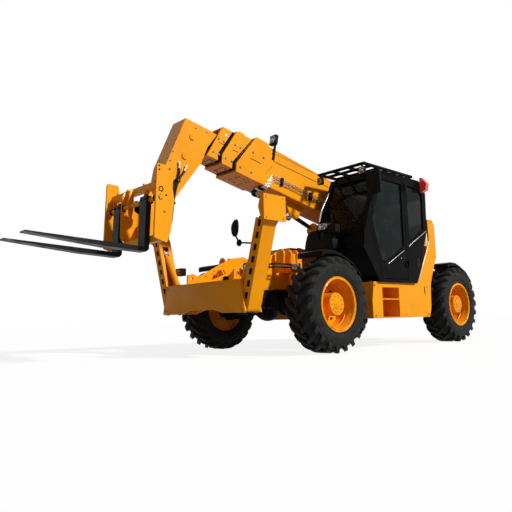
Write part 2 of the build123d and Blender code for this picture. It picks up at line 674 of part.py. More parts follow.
# ---------------------------------------------------------------- engine side
LID_HINGES = (POD_BACK + 200, POD_FRONT - 200)
GRILLE_X = (1500, 2200)
GRILLE_Z = (760, 1120)


def engine_pod():
    """Open-topped engine bay on the right of the chassis."""
    def section(out):
        return [(-SPINE_Y - PLATE_T - out, POD_LOW + out), (-SPINE_Y - PLATE_T - out, POD_SEAM),
                (out - SIDE_Y, POD_SEAM), (out - SIDE_Y, POD_LOW + 90), (out - SIDE_Y + 80, POD_LOW + out)]

    pod = front_shape(section(0), (POD_BACK, POD_FRONT))
    pod -= front_shape(section(POD_WALL), (POD_BACK + POD_WALL, POD_FRONT - POD_WALL))
    pod -= block(GRILLE_X, (-SIDE_Y - 1, POD_WALL + 1 - SIDE_Y), GRILLE_Z)
    slats = 9
    for step in range(1, slats):
        z = GRILLE_Z[0] + (GRILLE_Z[1] - GRILLE_Z[0]) * step / slats
        pod += block((GRILLE_X[0] - 1, GRILLE_X[1] + 1), (-SIDE_Y, POD_WALL - SIDE_Y), (z - 9, z + 9))
    for x in LID_HINGES:
        place = (x - 40, x)
        pod += block(place, (8 - LID_IN, -SPINE_Y - PLATE_T), (POD_SEAM - 60, POD_TOP))
        pod += rod((place[0], -LID_IN, POD_TOP), (place[1], -LID_IN, POD_TOP), LID_HINGE_R)
    return pod


def engine_block():
    """Engine, as one plain block on the bay's floor."""
    return block((1010, 1900), (-1000, -420), (POD_LOW + POD_WALL, 1130))


def engine_lid():
    """Engine cover, hinged along its inner edge."""
    def section(inset):
        return [(-LID_IN - inset, POD_SEAM + 5 - 2 * (inset > 0)), (-LID_IN - inset, POD_TOP - inset),
                (-SIDE_Y + 90, POD_TOP - inset), (inset - SIDE_Y, POD_TOP - 80),
                (inset - SIDE_Y, POD_SEAM + 5 - 2 * (inset > 0))]

    lid = front_shape(section(0), (POD_BACK, POD_FRONT))
    lid -= front_shape(section(POD_WALL), (POD_BACK + POD_WALL, POD_FRONT - POD_WALL))
    for x in LID_HINGES:
        lid -= rod((x - 41, -LID_IN, POD_TOP), (x + 1, -LID_IN, POD_TOP), LID_HINGE_R + 2)
        lid += rod((x + FIT, -LID_IN, POD_TOP), (x + 40, -LID_IN, POD_TOP), LID_HINGE_R)
    return lid


# ---------------------------------------------------------------- boom
MOUTHS = (      # top s, kink s, kink n, low s of each section's mouth, collar's rise on top
    (4078, 4350, -362, 4340, 30),
    (4400, 4573, -331, 4560, 6),
    (4611, 4778, -400, 4784, 13),
)
COLLAR_GAP = 28             # from a mouth to the next section's collar


def stage_box(level):
    """Half width, top and bottom of the given section, outside its walls."""
    inset = level * (BOOM_WALL + STAGE_GAP)
    top = BOOM_TOP - inset
    if level == len(MOUTHS):
        top -= NECK_DROP
    return BOOM_HALF_W - inset, top, BOOM_LOW + inset


def wear_pads(level):
    """Pads inside the given section's mouth, on which the next section runs."""
    half, top, low = stage_box(level)
    next_half, next_top, next_low = stage_box(level + 1)
    s_top, s_kink, n_kink, s_low, rise = MOUTHS[level]
    wall = BOOM_WALL / 2
    pads = None
    for side in (-1, 1):
        across = sorted((side * 40, side * (next_half - 20)))
        beside = sorted((side * (next_half + FIT), side * (half - wall)))
        for pad in (block((s_top - 130, s_top - 20), across, (next_top + FIT, top - wall)),
                    block((s_low - 130, s_low - 20), across, (low + wall, next_low - FIT)),
                    block((s_top - 60, s_top + 20), beside, (next_top - 150, next_top - 40)),
                    block((s_low - 130, s_low - 60), beside, (next_low + 40, next_low + 120))):
            pads = pad if pads is None else pads + pad
    return pads


def stage_tube(level, back):
    """A boom section with its thicker collar at the mouth, hollow."""
    half, top, low = stage_box(level)
    s_top, s_kink, n_kink, s_low, top_rise = MOUTHS[level]
    rise = COLLAR_RISE
    if level:
        last_top, last_kink, last_n, last_low, _ = MOUTHS[level - 1]
        back_edge = [(last_top + COLLAR_GAP, top + top_rise), (last_kink + COLLAR_GAP, last_n),
                     (last_low + COLLAR_GAP, low - rise)]
    else:
        back_edge = [(s_top - 240, top + top_rise), (s_top - 240, low - rise)]
    tube = side_shape([(back, low), (s_low, low), (s_kink, n_kink), (s_top, top), (back, top)],
                      (-half, half))
    tube += side_shape([(s_low, low - rise), (s_kink, n_kink), (s_top, top + top_rise), *back_edge],
                       (-half - rise, half + rise))
    wall = BOOM_WALL
    tube -= block((back - 1, s_kink + 100), (wall - half, half - wall), (low + wall, top - wall))
    return tube + wear_pads(level)


def boom_outer():
    """Outer boom section with its pivot bosses and the lift cylinder's lugs."""
    boom = stage_tube(0, -BOOM_TAIL)
    boom += both_sides(pin(0, 0, (BOOM_HALF_W - BOOM_WALL, SPINE_Y - FIT), 90))
    lug = side_shape([(LIFT_EYE_S - 190, BOOM_LOW + 1), (LIFT_EYE_S + 230, BOOM_LOW + 1),
                      (LIFT_EYE_S + 70, LIFT_EYE_N - 66), (LIFT_EYE_S - 70, LIFT_EYE_N - 66)],
                     (62, 87), 20)
    boom += both_sides(lug)
    boom += both_sides(pin(LIFT_EYE_S, LIFT_EYE_N, (87, 100), 50))
    boom -= pin(0, 0, (-400, 400), PIVOT_PIN_R + FIT)
    return on_boom(boom)


def boom_stage(level):
    """An inner boom section."""
    return on_boom(stage_tube(level, STAGE_BACK + (level - 1) * STAGE_STEP))


NECK = [(4572, 2871), (4149, 2787), (4343, 2354), (4743, 1845), (4925, CARRIAGE_Z - 60),
        (5060, CARRIAGE_Z - 60), (5065, 1540), (4930, 1690), (4925, 1950), (4859, 2245)]


def innermost_section():
    """Fourth boom section, closed by the gooseneck's back."""
    half, top, low = stage_box(len(MOUTHS))
    back = STAGE_BACK + 2 * STAGE_STEP
    wall = BOOM_WALL
    tube = block((back, 4820), (-half, half), (low, top))
    tube -= block((0, 4640), (wall - half, half - wall), (low + wall, top - wall))
    return on_boom(tube) - side_shape(NECK, (-2 * half, 2 * half))


def gooseneck():
    """Hollow arm that drops from the innermost section to the carriage."""
    shell = side_shape(NECK, (-NECK_HALF_W, NECK_HALF_W))
    inside = shrunk(NECK, NECK_WALL, (NECK_WALL - NECK_HALF_W, NECK_HALF_W - NECK_WALL))
    shell -= inside - block((4800, 5200), (-200, 200), (1300, 1600))
    shell += pin(CARRIAGE_X, CARRIAGE_Z, (-NECK_HALF_W, NECK_HALF_W), NECK_END_R)
    for x, z in ((4478, 2656), (4595, 2393)):
        shell += both_sides(pin(x, z, (NECK_HALF_W - 1, NECK_HALF_W + 14), 42))
    return shell - pin(CARRIAGE_X, CARRIAGE_Z, (-300, 300), CARRIAGE_PIN_R + FIT)


def boom_pipes():
    """Steel pipes along the outer section's left side, bending down and under its mouth."""
    y = BOOM_HALF_W + COLLAR_RISE + 2
    runs = None
    for row in range(4):
        n = -345 + 22 * row
        drop = 16 * row
        path = FilletPolyline((1200, y, n), (3644 + drop, y, n), (3780 + drop, y, -500),
                              (3780 + drop, 90, -500), radius=PIPE_BEND)
        bar = sweep(Plane(origin=path @ 0, z_dir=path % 0) * Circle(PIPE_R), path=path)
        runs = bar if runs is None else runs + bar
    for s in (1300, 2100, 2900, 3500):
        runs += block((s, s + 40), (BOOM_HALF_W, y + 12), (-362, -262))
    return on_boom(runs + block((3765, 3836), (110, 150), (-512, BOOM_LOW)))


def boom_lamp():
    """Work lamp on a bracket over the outer section's left edge."""
    lamp = block((3700, 3752), (110, 220), (175, 315))
    lamp += block((3705, 3747), (BOOM_HALF_W, BOOM_HALF_W + 8), (-60, 176))
    return on_boom(lamp)


# ---------------------------------------------------------------- carriage
SHAFT_X, SHAFT_Z = 223, 239        # fork shaft in the carriage's own frame


def carriage_frame():
    """Fork carriage: outer and inner plates, beams, fork shaft and pivot pin."""
    plate = side_shape([(281, 596), (131, 596), (52, 238), (81, -110), (121, -236), (281, -200)],
                       (CARRIAGE_HALF_W - CARRIAGE_PLATE_T, CARRIAGE_HALF_W), 18)
    inner = side_shape([(205, 440), (150, 440), (-50, 40), (-50, -45), (120, -222), (205, -222)],
                       (NECK_HALF_W + 50, NECK_HALF_W + 75))
    frame = both_sides(plate + inner)
    half = CARRIAGE_HALF_W - CARRIAGE_PLATE_T
    frame += block((140, 205), (-half, half), (375, 445))
    frame += block((140, 205), (-half, half), (-222, -150))
    frame += pin(SHAFT_X, SHAFT_Z, (-CARRIAGE_HALF_W - 12, CARRIAGE_HALF_W + 12), FORK_SHAFT_R)
    frame += pin(0, 0, (-NECK_HALF_W - 85, NECK_HALF_W + 85), CARRIAGE_PIN_R)
    return on_carriage(frame)


def forks():
    """Two pallet forks hung on the shaft."""
    heel = -324
    face = 271
    tip = face + FORK_LENGTH
    shape = [(209, 285), (face, 285), (face, heel + FORK_T), (tip, heel + FORK_T),
             (tip, heel + FORK_T - 12), (face + 430, heel), (240, heel), (face - 60, heel + 30)]
    pair = None
    for y in (-FORK_Y, FORK_Y):
        fork = side_shape(shape, (y - FORK_W / 2, y + FORK_W / 2))
        fork += pin(SHAFT_X, SHAFT_Z, (y - FORK_W / 2, y + FORK_W / 2), FORK_SHAFT_R + 18)
        fork -= pin(SHAFT_X, SHAFT_Z, (y - FORK_W, y + FORK_W), FORK_SHAFT_R + FIT)
        pair = fork if pair is None else pair + fork
    return on_carriage(pair)


# ---------------------------------------------------------------- lift cylinder
def lift_plane():
    """The lift cylinder's plane: foot at its origin, X towards the eye, Z along Y."""
    eye_x, eye_z = boom_point(LIFT_EYE_S, LIFT_EYE_N)
    way = Vector(eye_x - LIFT_BASE_X, 0, eye_z - LIFT_BASE_Z)
    return Plane(origin=(LIFT_BASE_X, 0, LIFT_BASE_Z), x_dir=way, z_dir=(0, 1, 0)), way.length


def lift_cylinder():
    """Barrel and rod of the lift cylinder."""
    plane, reach = lift_plane()
    barrel = ram_barrel(LIFT_BARREL, LIFT_R, LIFT_ROD_R, LIFT_EYE_R * 1.35, LIFT_PIN_R,
                        2 * LIFT_R)
    piston = ram_rod(reach, LIFT_PISTON, LIFT_ROD_R, LIFT_R * 0.8, LIFT_EYE_R, LIFT_PIN_R, 110)
    return plane * barrel, plane * piston


# ---------------------------------------------------------------- small pieces
def mirrors():
    """Left mirror on the cab's pillar, right mirror on a post of the engine pod."""
    left = block((2363, 2413), (MIRROR_OUT - 216, MIRROR_OUT), (2023, 2337))
    left += block((2216, 2228), (CAB_OUT, CAB_OUT + 25), (2150, 2205))
    left += rod((2222, CAB_OUT + 20, 2178), (2380, MIRROR_OUT - 100, 2178), 12)
    right = block((2548, 2598), (-MIRROR_OUT, 176 - MIRROR_OUT), (1765, 2080))
    right += block((2450, 2500), (66 - MIRROR_OUT, 126 - MIRROR_OUT), (1640, 1708))
    right += block((POD_FRONT, POD_FRONT + 45), (20 - SIDE_Y, 100 - SIDE_Y), (1120, 1190))
    post = (POD_FRONT + 27, 60 - SIDE_Y, 1170)
    turn = (2380, 176 - MIRROR_OUT, 1680)
    block_middle = (2475, 96 - MIRROR_OUT, 1674)
    head = (2573, 96 - MIRROR_OUT, 1790)
    for start, end in ((post, turn), (turn, block_middle), (block_middle, head)):
        right += rod(start, end, 14) + Pos(*end) * Sphere(17)
    return left + right


def rear_lamps():
    """Warning lamp wedge on the cab's upper rear corner, and the two tail lamps."""
    lamps = front_shape([(CAB_OUT, 2239), (CAB_OUT + 90, 2269), (CAB_OUT + 110, 2367),
                         (CAB_OUT + 40, 2465), (CAB_OUT, 2465)], (985, 1064))
    return lamps + both_sides(block((REAR_X - 25, REAR_X), (780, 900), (930, 1030)))


def front_lamps():
    """Road lamp on its black box ahead of the cab, work lamps under the guard, nose lamps."""
    lamps = side_shape([(2547, 1335), (2696, 1335), (2696, 1580), (2507, 1580), (2526, 1536)],
                       (CAB_IN + 10, CAB_IN + 430))
    lamps += block((2568, 2706), (CAB_IN + 138, CAB_IN + 423), (1579, 1693))
    for y in (CAB_IN + 30, CAB_IN + 150):
        lamps += block((2400, 2450), (y, y + 93), (2350, 2436))
    nose = rod((3960, NOSE_Y + PLATE_T + 62, 1050), (4020, NOSE_Y + PLATE_T + 62, 1050), 52)
    nose += block((3965, 3985), (NOSE_Y + PLATE_T, NOSE_Y + PLATE_T + 62), (900, 960))
    nose += block((3965, 3985), (NOSE_Y + PLATE_T + 40, NOSE_Y + PLATE_T + 80), (900, 1050))
    return lamps + both_sides(nose)


# ---------------------------------------------------------------- assembly
def shapes():
    """Every node's name and shape, drawn about the rear axle."""
    nodes = {
        "spine_plates": spine_plates(),
        "nose_plates": nose_plates(),
        "cross_members": cross_members(),
        "levelling_rams": levelling_rams(),
        "stabiliser_frame": stabiliser_frame(),
        "counterweight": counterweight(),
        "left_side_box": left_side_box(),
        "rear_panel": rear_panel(),
        "front_axle": axle(FRONT_AXLE_X, LEVEL_Y),
        "rear_axle": axle(REAR_AXLE_X),
        "cab_left_side": cab_left_side(),
        "cab_right_side": cab_right_side(),
        "cab_shell": cab_shell(),
        "cab_glass": cab_glass(),
        "door_frame": door_frame(),
        "door_glass": door_glass(),
        "cab_seat": cab_seat(),
        "cab_console": cab_console(),
        "roof_guard": roof_guard(),
        "engine_pod": engine_pod(),
        "engine_block": engine_block(),
        "engine_lid": engine_lid(),
        "mirrors": mirrors(),
        "rear_lamps": rear_lamps(),
        "front_lamps": front_lamps(),
        "boom_outer": boom_outer(),
        "boom_pipes": boom_pipes(),
        "boom_lamp": boom_lamp(),
        "boom_stage_2": boom_stage(1),
        "boom_stage_3": boom_stage(2),
        "boom_stage_4": innermost_section(),
        "gooseneck": gooseneck(),
        "carriage_frame": carriage_frame(),
        "forks": forks(),
    }
    nodes["lift_barrel"], nodes["lift_rod"] = lift_cylinder()
    barrel, piston = leg_ram()
    left_leg = leg()
    nodes["leg_left"] = left_leg
    nodes["leg_right"] = mirror(left_leg, Plane.XZ)
    nodes["leg_barrel_left"] = barrel
    nodes["leg_barrel_right"] = mirror(barrel, Plane.XZ)
    nodes["leg_rod_left"] = piston
    nodes["leg_rod_right"] = mirror(piston, Plane.XZ)
    left_knuckle = knuckle()
    wheel_tyre = tyre()
    wheel_rim = rim()
    for end, x in (("front", FRONT_AXLE_X), ("rear", REAR_AXLE_X)):
        placed = Pos(x, KING_Y, TYRE_R) * left_knuckle
        nodes[f"knuckle_{end}_left"] = placed
        nodes[f"knuckle_{end}_right"] = mirror(placed, Plane.XZ)
        for side, name in ((1, "left"), (-1, "right")):
            nodes[f"tyre_{end}_{name}"] = wheel_place(x, side) * wheel_tyre
            nodes[f"rim_{end}_{name}"] = wheel_place(x, side) * wheel_rim
    return nodes


NODES = shapes()
BOXES = [shape.bounding_box() for shape in NODES.values()]
MIDDLE_X = (min(box.min.X for box in BOXES) + max(box.max.X for box in BOXES)) / 2


def main():
    os.makedirs("parts", exist_ok=True)
    for name, shape in NODES.items():
        export_step(Pos(-MIDDLE_X, 0, 0) * shape, f"parts/{name}.step")


if __name__ == "__main__":
    main()
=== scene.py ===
"""Dresses the telescopic handler's frame: paint, rubber, glass, hoses, bolts and fittings.

Places are given in millimetres from the datum behind the rear axle, X forward, Y left,
Z up from the ground, and put in metres in the frame's own place.
"""

import json
import math

import bpy
from bpy.props import FloatProperty, FloatVectorProperty, IntProperty, PointerProperty
from mathutils import Matrix, Vector

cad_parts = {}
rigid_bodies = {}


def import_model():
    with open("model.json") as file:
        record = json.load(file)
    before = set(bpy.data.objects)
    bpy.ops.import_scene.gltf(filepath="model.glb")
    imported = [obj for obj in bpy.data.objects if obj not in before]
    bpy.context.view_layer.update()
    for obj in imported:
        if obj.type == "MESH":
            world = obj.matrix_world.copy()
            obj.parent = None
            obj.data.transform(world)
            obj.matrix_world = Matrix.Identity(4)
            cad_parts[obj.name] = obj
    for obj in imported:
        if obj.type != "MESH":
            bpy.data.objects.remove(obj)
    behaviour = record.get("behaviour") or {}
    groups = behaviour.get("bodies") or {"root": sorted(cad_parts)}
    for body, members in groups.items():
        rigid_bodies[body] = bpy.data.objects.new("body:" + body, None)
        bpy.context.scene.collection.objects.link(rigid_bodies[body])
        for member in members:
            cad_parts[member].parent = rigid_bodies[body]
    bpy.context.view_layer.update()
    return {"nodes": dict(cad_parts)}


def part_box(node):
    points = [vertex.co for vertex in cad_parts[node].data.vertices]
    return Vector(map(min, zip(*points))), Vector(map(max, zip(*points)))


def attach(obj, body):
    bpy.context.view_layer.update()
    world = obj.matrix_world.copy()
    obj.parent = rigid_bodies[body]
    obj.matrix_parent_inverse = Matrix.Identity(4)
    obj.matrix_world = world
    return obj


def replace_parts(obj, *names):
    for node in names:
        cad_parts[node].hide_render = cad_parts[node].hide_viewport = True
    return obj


bl_info = {
    "name": "Telescopic handler",
    "version": (1, 0, 0),
    "blender": (4, 5, 0),
    "location": "View3D > Sidebar > Handler",
    "description": "Finishes, fittings and stage for the telescopic handler",
    "category": "Object",
}

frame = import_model()
REAR_AXLE = 140
WHEELBASE = 3008
AXLES = {"rear": REAR_AXLE, "front": REAR_AXLE + WHEELBASE}
REAR_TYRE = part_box("tyre_rear_left")
DATUM = (REAR_TYRE[0][0] + REAR_TYRE[1][0]) / 2 - REAR_AXLE / 1000
TYRE_R = 582
TYRE_HALF = 197
TRACK = 1052
PIVOT = (-500, 1880)
BOOM_ANGLE = math.radians(12)
CAB_IN, CAB_OUT = 374, 1190
PIVOT_CARRIAGE = (5000, 1480)
# Side faces of the parts, out from the middle plane, and the counterweight's back.
BOOM_SIDE, NECK_SIDE, NOSE_SIDE, CARRIAGE_SIDE, BOX_SIDE = 196, 134, 475, 561, 1150
WEIGHT_BACK = -850
CARRIAGE_TILT = math.radians(3)


# ---- places
def at(x, y, z):
    """A point of the machine, from millimetres off the datum to the frame's metres."""
    return Vector((x / 1000 + DATUM, y / 1000, z / 1000))


def on_boom(s, y, n):
    """A point of the boom: s along it from its pivot, n square to it."""
    return at(PIVOT[0] + s * math.cos(BOOM_ANGLE) - n * math.sin(BOOM_ANGLE), y,
              PIVOT[1] + s * math.sin(BOOM_ANGLE) + n * math.cos(BOOM_ANGLE))


def on_carriage(x, y, z):
    """A point of the carriage in its own upright frame."""
    return at(PIVOT_CARRIAGE[0] + x * math.cos(CARRIAGE_TILT) - z * math.sin(CARRIAGE_TILT), y,
              PIVOT_CARRIAGE[1] + x * math.sin(CARRIAGE_TILT) + z * math.cos(CARRIAGE_TILT))


def facing(point, way):
    """The place of a small piece drawn standing on Z = 0, put at point and facing way."""
    return Matrix.Translation(point) @ Vector(way).to_track_quat("Z", "Y").to_matrix().to_4x4()


BOOM_WAY = on_boom(1, 0, 0) - on_boom(0, 0, 0)
BOOM_UP = on_boom(0, 0, 1) - on_boom(0, 0, 0)
LEFT = Vector((0, 1, 0))
SIDES = (-1, 1)
NAMED_SIDES = ((1, "left"), (-1, "right"))


def beside(side, x, y, z, put=at):
    """Where a small piece stands on a side face, y out from the middle plane and facing outwards."""
    return facing(put(x, side * y, z), side * LEFT)


def fore(x, y, z, way=1):
    """Where a small piece stands on a face that looks forward, or back where way is -1."""
    return facing(at(x, y, z), (way, 0, 0))


def upright(x, y, z, way=1):
    """Where a small piece stands on a level face, or hangs under it where way is -1."""
    return facing(at(x, y, z), (0, 0, way))


def around(place, count, radius, height=0, share=0):
    """Places evenly round a centre, turned by a share of one step; radius and height in metres."""
    return [place @ Matrix.Rotation(2 * math.pi * (i + share) / count, 4, "Z")
            @ Matrix.Translation((radius, 0, height)) for i in range(count)]


def span(side, near, far):
    """Two distances off the middle plane as low and high y on the given side."""
    return sorted((side * near, side * far))


# ---- modelling
def leave():
    """Leaves edit mode."""
    bpy.ops.object.mode_set(mode="OBJECT")


def loose():
    """Leaves edit mode and deselects everything."""
    if bpy.context.object and bpy.context.object.mode != "OBJECT":
        leave()
    bpy.ops.object.select_all(action="DESELECT")


def take(piece, *others):
    """Selects the pieces alone, the first one active."""
    loose()
    for one in (piece, *others):
        one.select_set(True)
    bpy.context.view_layer.objects.active = piece


def mark(piece, kind, test):
    """Opens the piece for editing with the faces, edges or vertices that pass the test selected."""
    take(piece)
    bpy.ops.object.mode_set(mode="EDIT")
    bpy.ops.mesh.select_mode(type=kind)
    bpy.ops.mesh.select_all(action="DESELECT")
    leave()
    mesh = piece.data
    parts = {"VERT": mesh.vertices, "EDGE": mesh.edges, "FACE": mesh.polygons}[kind]
    for part in parts:
        part.select = bool(test(part))
    bpy.ops.object.mode_set(mode="EDIT")


def settle(piece, name=None):
    """Puts the piece's place and size into its mesh."""
    take(piece)
    bpy.ops.object.transform_apply(location=True, rotation=True, scale=True)
    if name:
        piece.name = name
        piece.data.name = name
    return piece


def rounded(piece, edge, segments=2, angle=40):
    """Bevels the piece's sharp edges."""
    take(piece)
    if edge:
        bevel = piece.modifiers.new("edge", "BEVEL")
        bevel.width = edge / 1000
        bevel.segments = segments
        bevel.limit_method = "ANGLE"
        bevel.angle_limit = math.radians(angle)
        bpy.ops.object.modifier_apply(modifier=bevel.name)
    return piece


def smooth(piece, angle=35):
    """Shades the piece smooth, apart from its sharp edges."""
    take(piece)
    bpy.ops.object.shade_smooth_by_angle(angle=math.radians(angle))
    return piece


def outward(piece):
    """Merges the piece's doubles and turns its faces outwards."""
    mark(piece, "VERT", lambda v: True)
    bpy.ops.mesh.remove_doubles(threshold=0.00005)
    bpy.ops.mesh.normals_make_consistent(inside=False)
    leave()
    return piece


def block(name, low, high, edge=3, segments=2, turn=None):
    """A block between two corners in millimetres, rounded, then placed by turn or off the datum."""
    low, high = Vector(low), Vector(high)
    bpy.ops.mesh.primitive_cube_add(size=1, location=(low + high) / 2000)
    piece = bpy.context.object
    piece.scale = (high - low) / 1000
    settle(piece, name)
    rounded(piece, edge, segments)
    piece.data.transform(turn or Matrix.Translation((DATUM, 0, 0)))
    return smooth(piece)


BOOM_PLACE = Matrix.Translation(on_boom(0, 0, 0)) @ Matrix.Rotation(-BOOM_ANGLE, 4, "Y")
CARRIAGE_PLACE = Matrix.Translation(on_carriage(0, 0, 0)) @ Matrix.Rotation(-CARRIAGE_TILT, 4, "Y")


def bar(name, start, end, radius, edge=1.5, sides=32):
    """A round bar between two points in metres, its ends' edges rounded."""
    way = end - start
    bpy.ops.mesh.primitive_cylinder_add(vertices=sides, radius=radius / 1000, depth=way.length)
    piece = bpy.context.object
    settle(piece, name)
    mark(piece, "FACE", lambda f: abs(f.normal.z) > 0.9)
    bpy.ops.mesh.inset(thickness=radius / 4000)
    rounded(piece, edge)
    piece.data.transform(Matrix.Translation((0, 0, way.length / 2)))
    piece.data.transform(facing(start, way))
    return smooth(piece)


def plate(name, points, depth, edge=2, turn=None, axes="xz", width=None):
    """A flat plate from its outline in millimetres, drawn square to Y ("xz") or to X ("yz").

    With a width it is a flat frame, as wide as given inside the outline.
    """
    bpy.ops.mesh.primitive_circle_add(vertices=len(points), radius=1, fill_type="NGON")
    piece = bpy.context.object
    for vertex, (a, b) in zip(piece.data.vertices, points):
        vertex.co = Vector((a, depth[0], b) if axes == "xz" else (depth[0], a, b)) / 1000
    mark(piece, "FACE", lambda f: True)
    if width:
        bpy.ops.mesh.inset(thickness=width / 1000)
        bpy.ops.mesh.delete(type="FACE")
        bpy.ops.mesh.select_all(action="SELECT")
    rise = (depth[1] - depth[0]) / 1000
    bpy.ops.mesh.extrude_region_move(TRANSFORM_OT_translate={
        "value": (0, rise, 0) if axes == "xz" else (rise, 0, 0)})
    settle(piece, name)
    outward(piece)
    rounded(piece, edge)
    piece.data.transform(turn or Matrix.Translation((DATUM, 0, 0)))
    return smooth(piece)


def cross_plate(name, points, depth, edge=2):
    """A flat plate square to X, from its (y, z) outline in millimetres."""
    return plate(name, points, depth, edge, axes="yz")


def ring_plate(name, points, depth, width, edge=1.5, turn=None, axes="xz"):
    """A flat frame from its outline in millimetres, as wide as given inside it."""
    return plate(name, points, depth, edge, turn, axes, width)


def pipe(name, points, radius, bend=24):
    """A rigid pipe along points in metres, its corners bent to the given radius in millimetres."""
    bpy.ops.mesh.primitive_circle_add(vertices=len(points), radius=1)
    piece = settle(bpy.context.object, name)
    for vertex, point in zip(piece.data.vertices, points):
        vertex.co = point
    mark(piece, "EDGE", lambda e: set(e.vertices) == {0, len(points) - 1})
    bpy.ops.mesh.delete(type="EDGE_FACE")
    take(piece)
    bent = piece.modifiers.new("bend", "BEVEL")
    bent.affect = "VERTICES"
    bent.width = bend / 1000
    bent.segments = 6
    bpy.ops.object.modifier_apply(modifier=bent.name)
    bpy.ops.object.convert(target="CURVE")
    piece.data.bevel_depth = radius / 1000
    piece.data.bevel_resolution = 6
    piece.data.use_fill_caps = True
    bpy.ops.object.convert(target="MESH")
    outward(piece)
    return smooth(piece)


def oblong(low, high):
    """An oblong's outline between two corners."""
    return [low, (high[0], low[1]), high, (low[0], high[1])]


def soft_corners(low, high, radius):
    """An oblong's outline between two corners, its own corners rounded."""
    steps = 5
    middles = ((high[0] - radius, high[1] - radius), (low[0] + radius, high[1] - radius),
               (low[0] + radius, low[1] + radius), (high[0] - radius, low[1] + radius))
    return [(a + radius * math.cos(turn), b + radius * math.sin(turn)) for corner, (a, b) in enumerate(middles)
            for step in range(steps + 1) for turn in [math.pi / 2 * (corner + step / steps)]]


def sunk(piece, test, margin, move):
    """Insets the faces that pass the test by a margin and moves them, both in metres."""
    mark(piece, "FACE", test)
    bpy.ops.mesh.inset(thickness=margin)
    bpy.ops.mesh.extrude_region_move(TRANSFORM_OT_translate={"value": move})
    leave()
    return piece


def turned(name, profile, place, steps=64, closed=False):
    """A turned piece: (radius, height) points in millimetres spun about Z, then placed."""
    bpy.ops.mesh.primitive_circle_add(vertices=len(profile), radius=1, fill_type="NOTHING")
    piece = bpy.context.object
    for vertex, (radius, height) in zip(piece.data.vertices, profile):
        vertex.co = Vector((radius, 0, height)) / 1000
    if not closed:
        last = len(profile) - 1
        mark(piece, "EDGE", lambda e: set(e.vertices) == {0, last})
        bpy.ops.mesh.delete(type="EDGE")
    mark(piece, "VERT", lambda v: True)
    bpy.ops.mesh.spin(steps=steps, angle=2 * math.pi, center=(0, 0, 0), axis=(0, 0, 1))
    settle(piece, name)
    outward(piece)
    piece.data.transform(place)
    return smooth(piece)


def solid(name, profile, place, steps=64):
    """A turned piece without a hole: its profile's ends are closed at the middle."""
    core = 0.3
    return turned(name, [(core, profile[0][1]), *profile, (core, profile[-1][1])], place, steps)


def twin(piece):
    """A copy of the piece with its own mesh."""
    other = piece.copy()
    other.data = piece.data.copy()
    bpy.context.collection.objects.link(other)
    return other


def copies(name, pattern, places):
    """Copies of the pattern, one at each place, joined as one piece; the pattern goes."""
    twins = [twin(pattern) for place in places]
    for one, place in zip(twins, places):
        one.data.transform(place)
    bpy.data.objects.remove(pattern)
    return joined(name, *twins)


def joined(name, first, *others):
    """The pieces as one."""
    if others:
        take(first, *others)
        bpy.ops.object.join()
    first.name = name
    first.data.name = name
    return first


def hex_bolt(size=12, height=9):
    """A hexagon bolt head on its washer, standing on Z = 0."""
    bpy.ops.mesh.primitive_cylinder_add(vertices=20, radius=size * 0.00118, depth=0.003,
                                        location=(0, 0, 0.0015))
    washer = settle(bpy.context.object)
    mark(washer, "FACE", lambda f: f.normal.z > 0.9)
    bpy.ops.mesh.inset(thickness=0.0008)
    bpy.ops.mesh.extrude_region_move(TRANSFORM_OT_translate={"value": (0, 0, 0.0006)})
    bpy.ops.mesh.primitive_cylinder_add(vertices=6, radius=size / 1000, depth=height / 1000,
                                        location=(0, 0, 0.003 + height / 2000))
    leave()
    sunk(washer, lambda f: f.normal.z > 0.9 and f.center.z > 0.004, size * 0.00022, (0, 0, 0.0012))
    return smooth(washer, 30)


def clad(piece, finish, body):
    """Gives the piece its finish and the body that it rides on."""
    piece.data.materials.clear()
    piece.data.materials.append(finish)
    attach(piece, body)
    return piece


# ---- finishes
class Tone:
    """A node's output in a finish, on which Python's own signs do sums."""

    def __init__(self, finish, socket):
        self.finish = finish
        self.socket = socket

    def sum(self, operation, *values):
        return self.finish.node("ShaderNodeMath", {"operation": operation}, dict(enumerate(values)))

    def __add__(self, other):
        return self.sum("ADD", self, other)

    def __radd__(self, other):
        return self.sum("ADD", other, self)

    def __sub__(self, other):
        return self.sum("SUBTRACT", self, other)

    def __rsub__(self, other):
        return self.sum("SUBTRACT", other, self)

    def __mul__(self, other):
        return self.sum("MULTIPLY", self, other)

    def __rmul__(self, other):
        return self.sum("MULTIPLY", other, self)

    def above(self, low, high):
        """0 up to low, 1 from high, and smooth between them."""
        return self.finish.node("ShaderNodeMapRange", {"interpolation_type": "SMOOTHSTEP"},
                                {"Value": self, "From Min": low, "From Max": high})


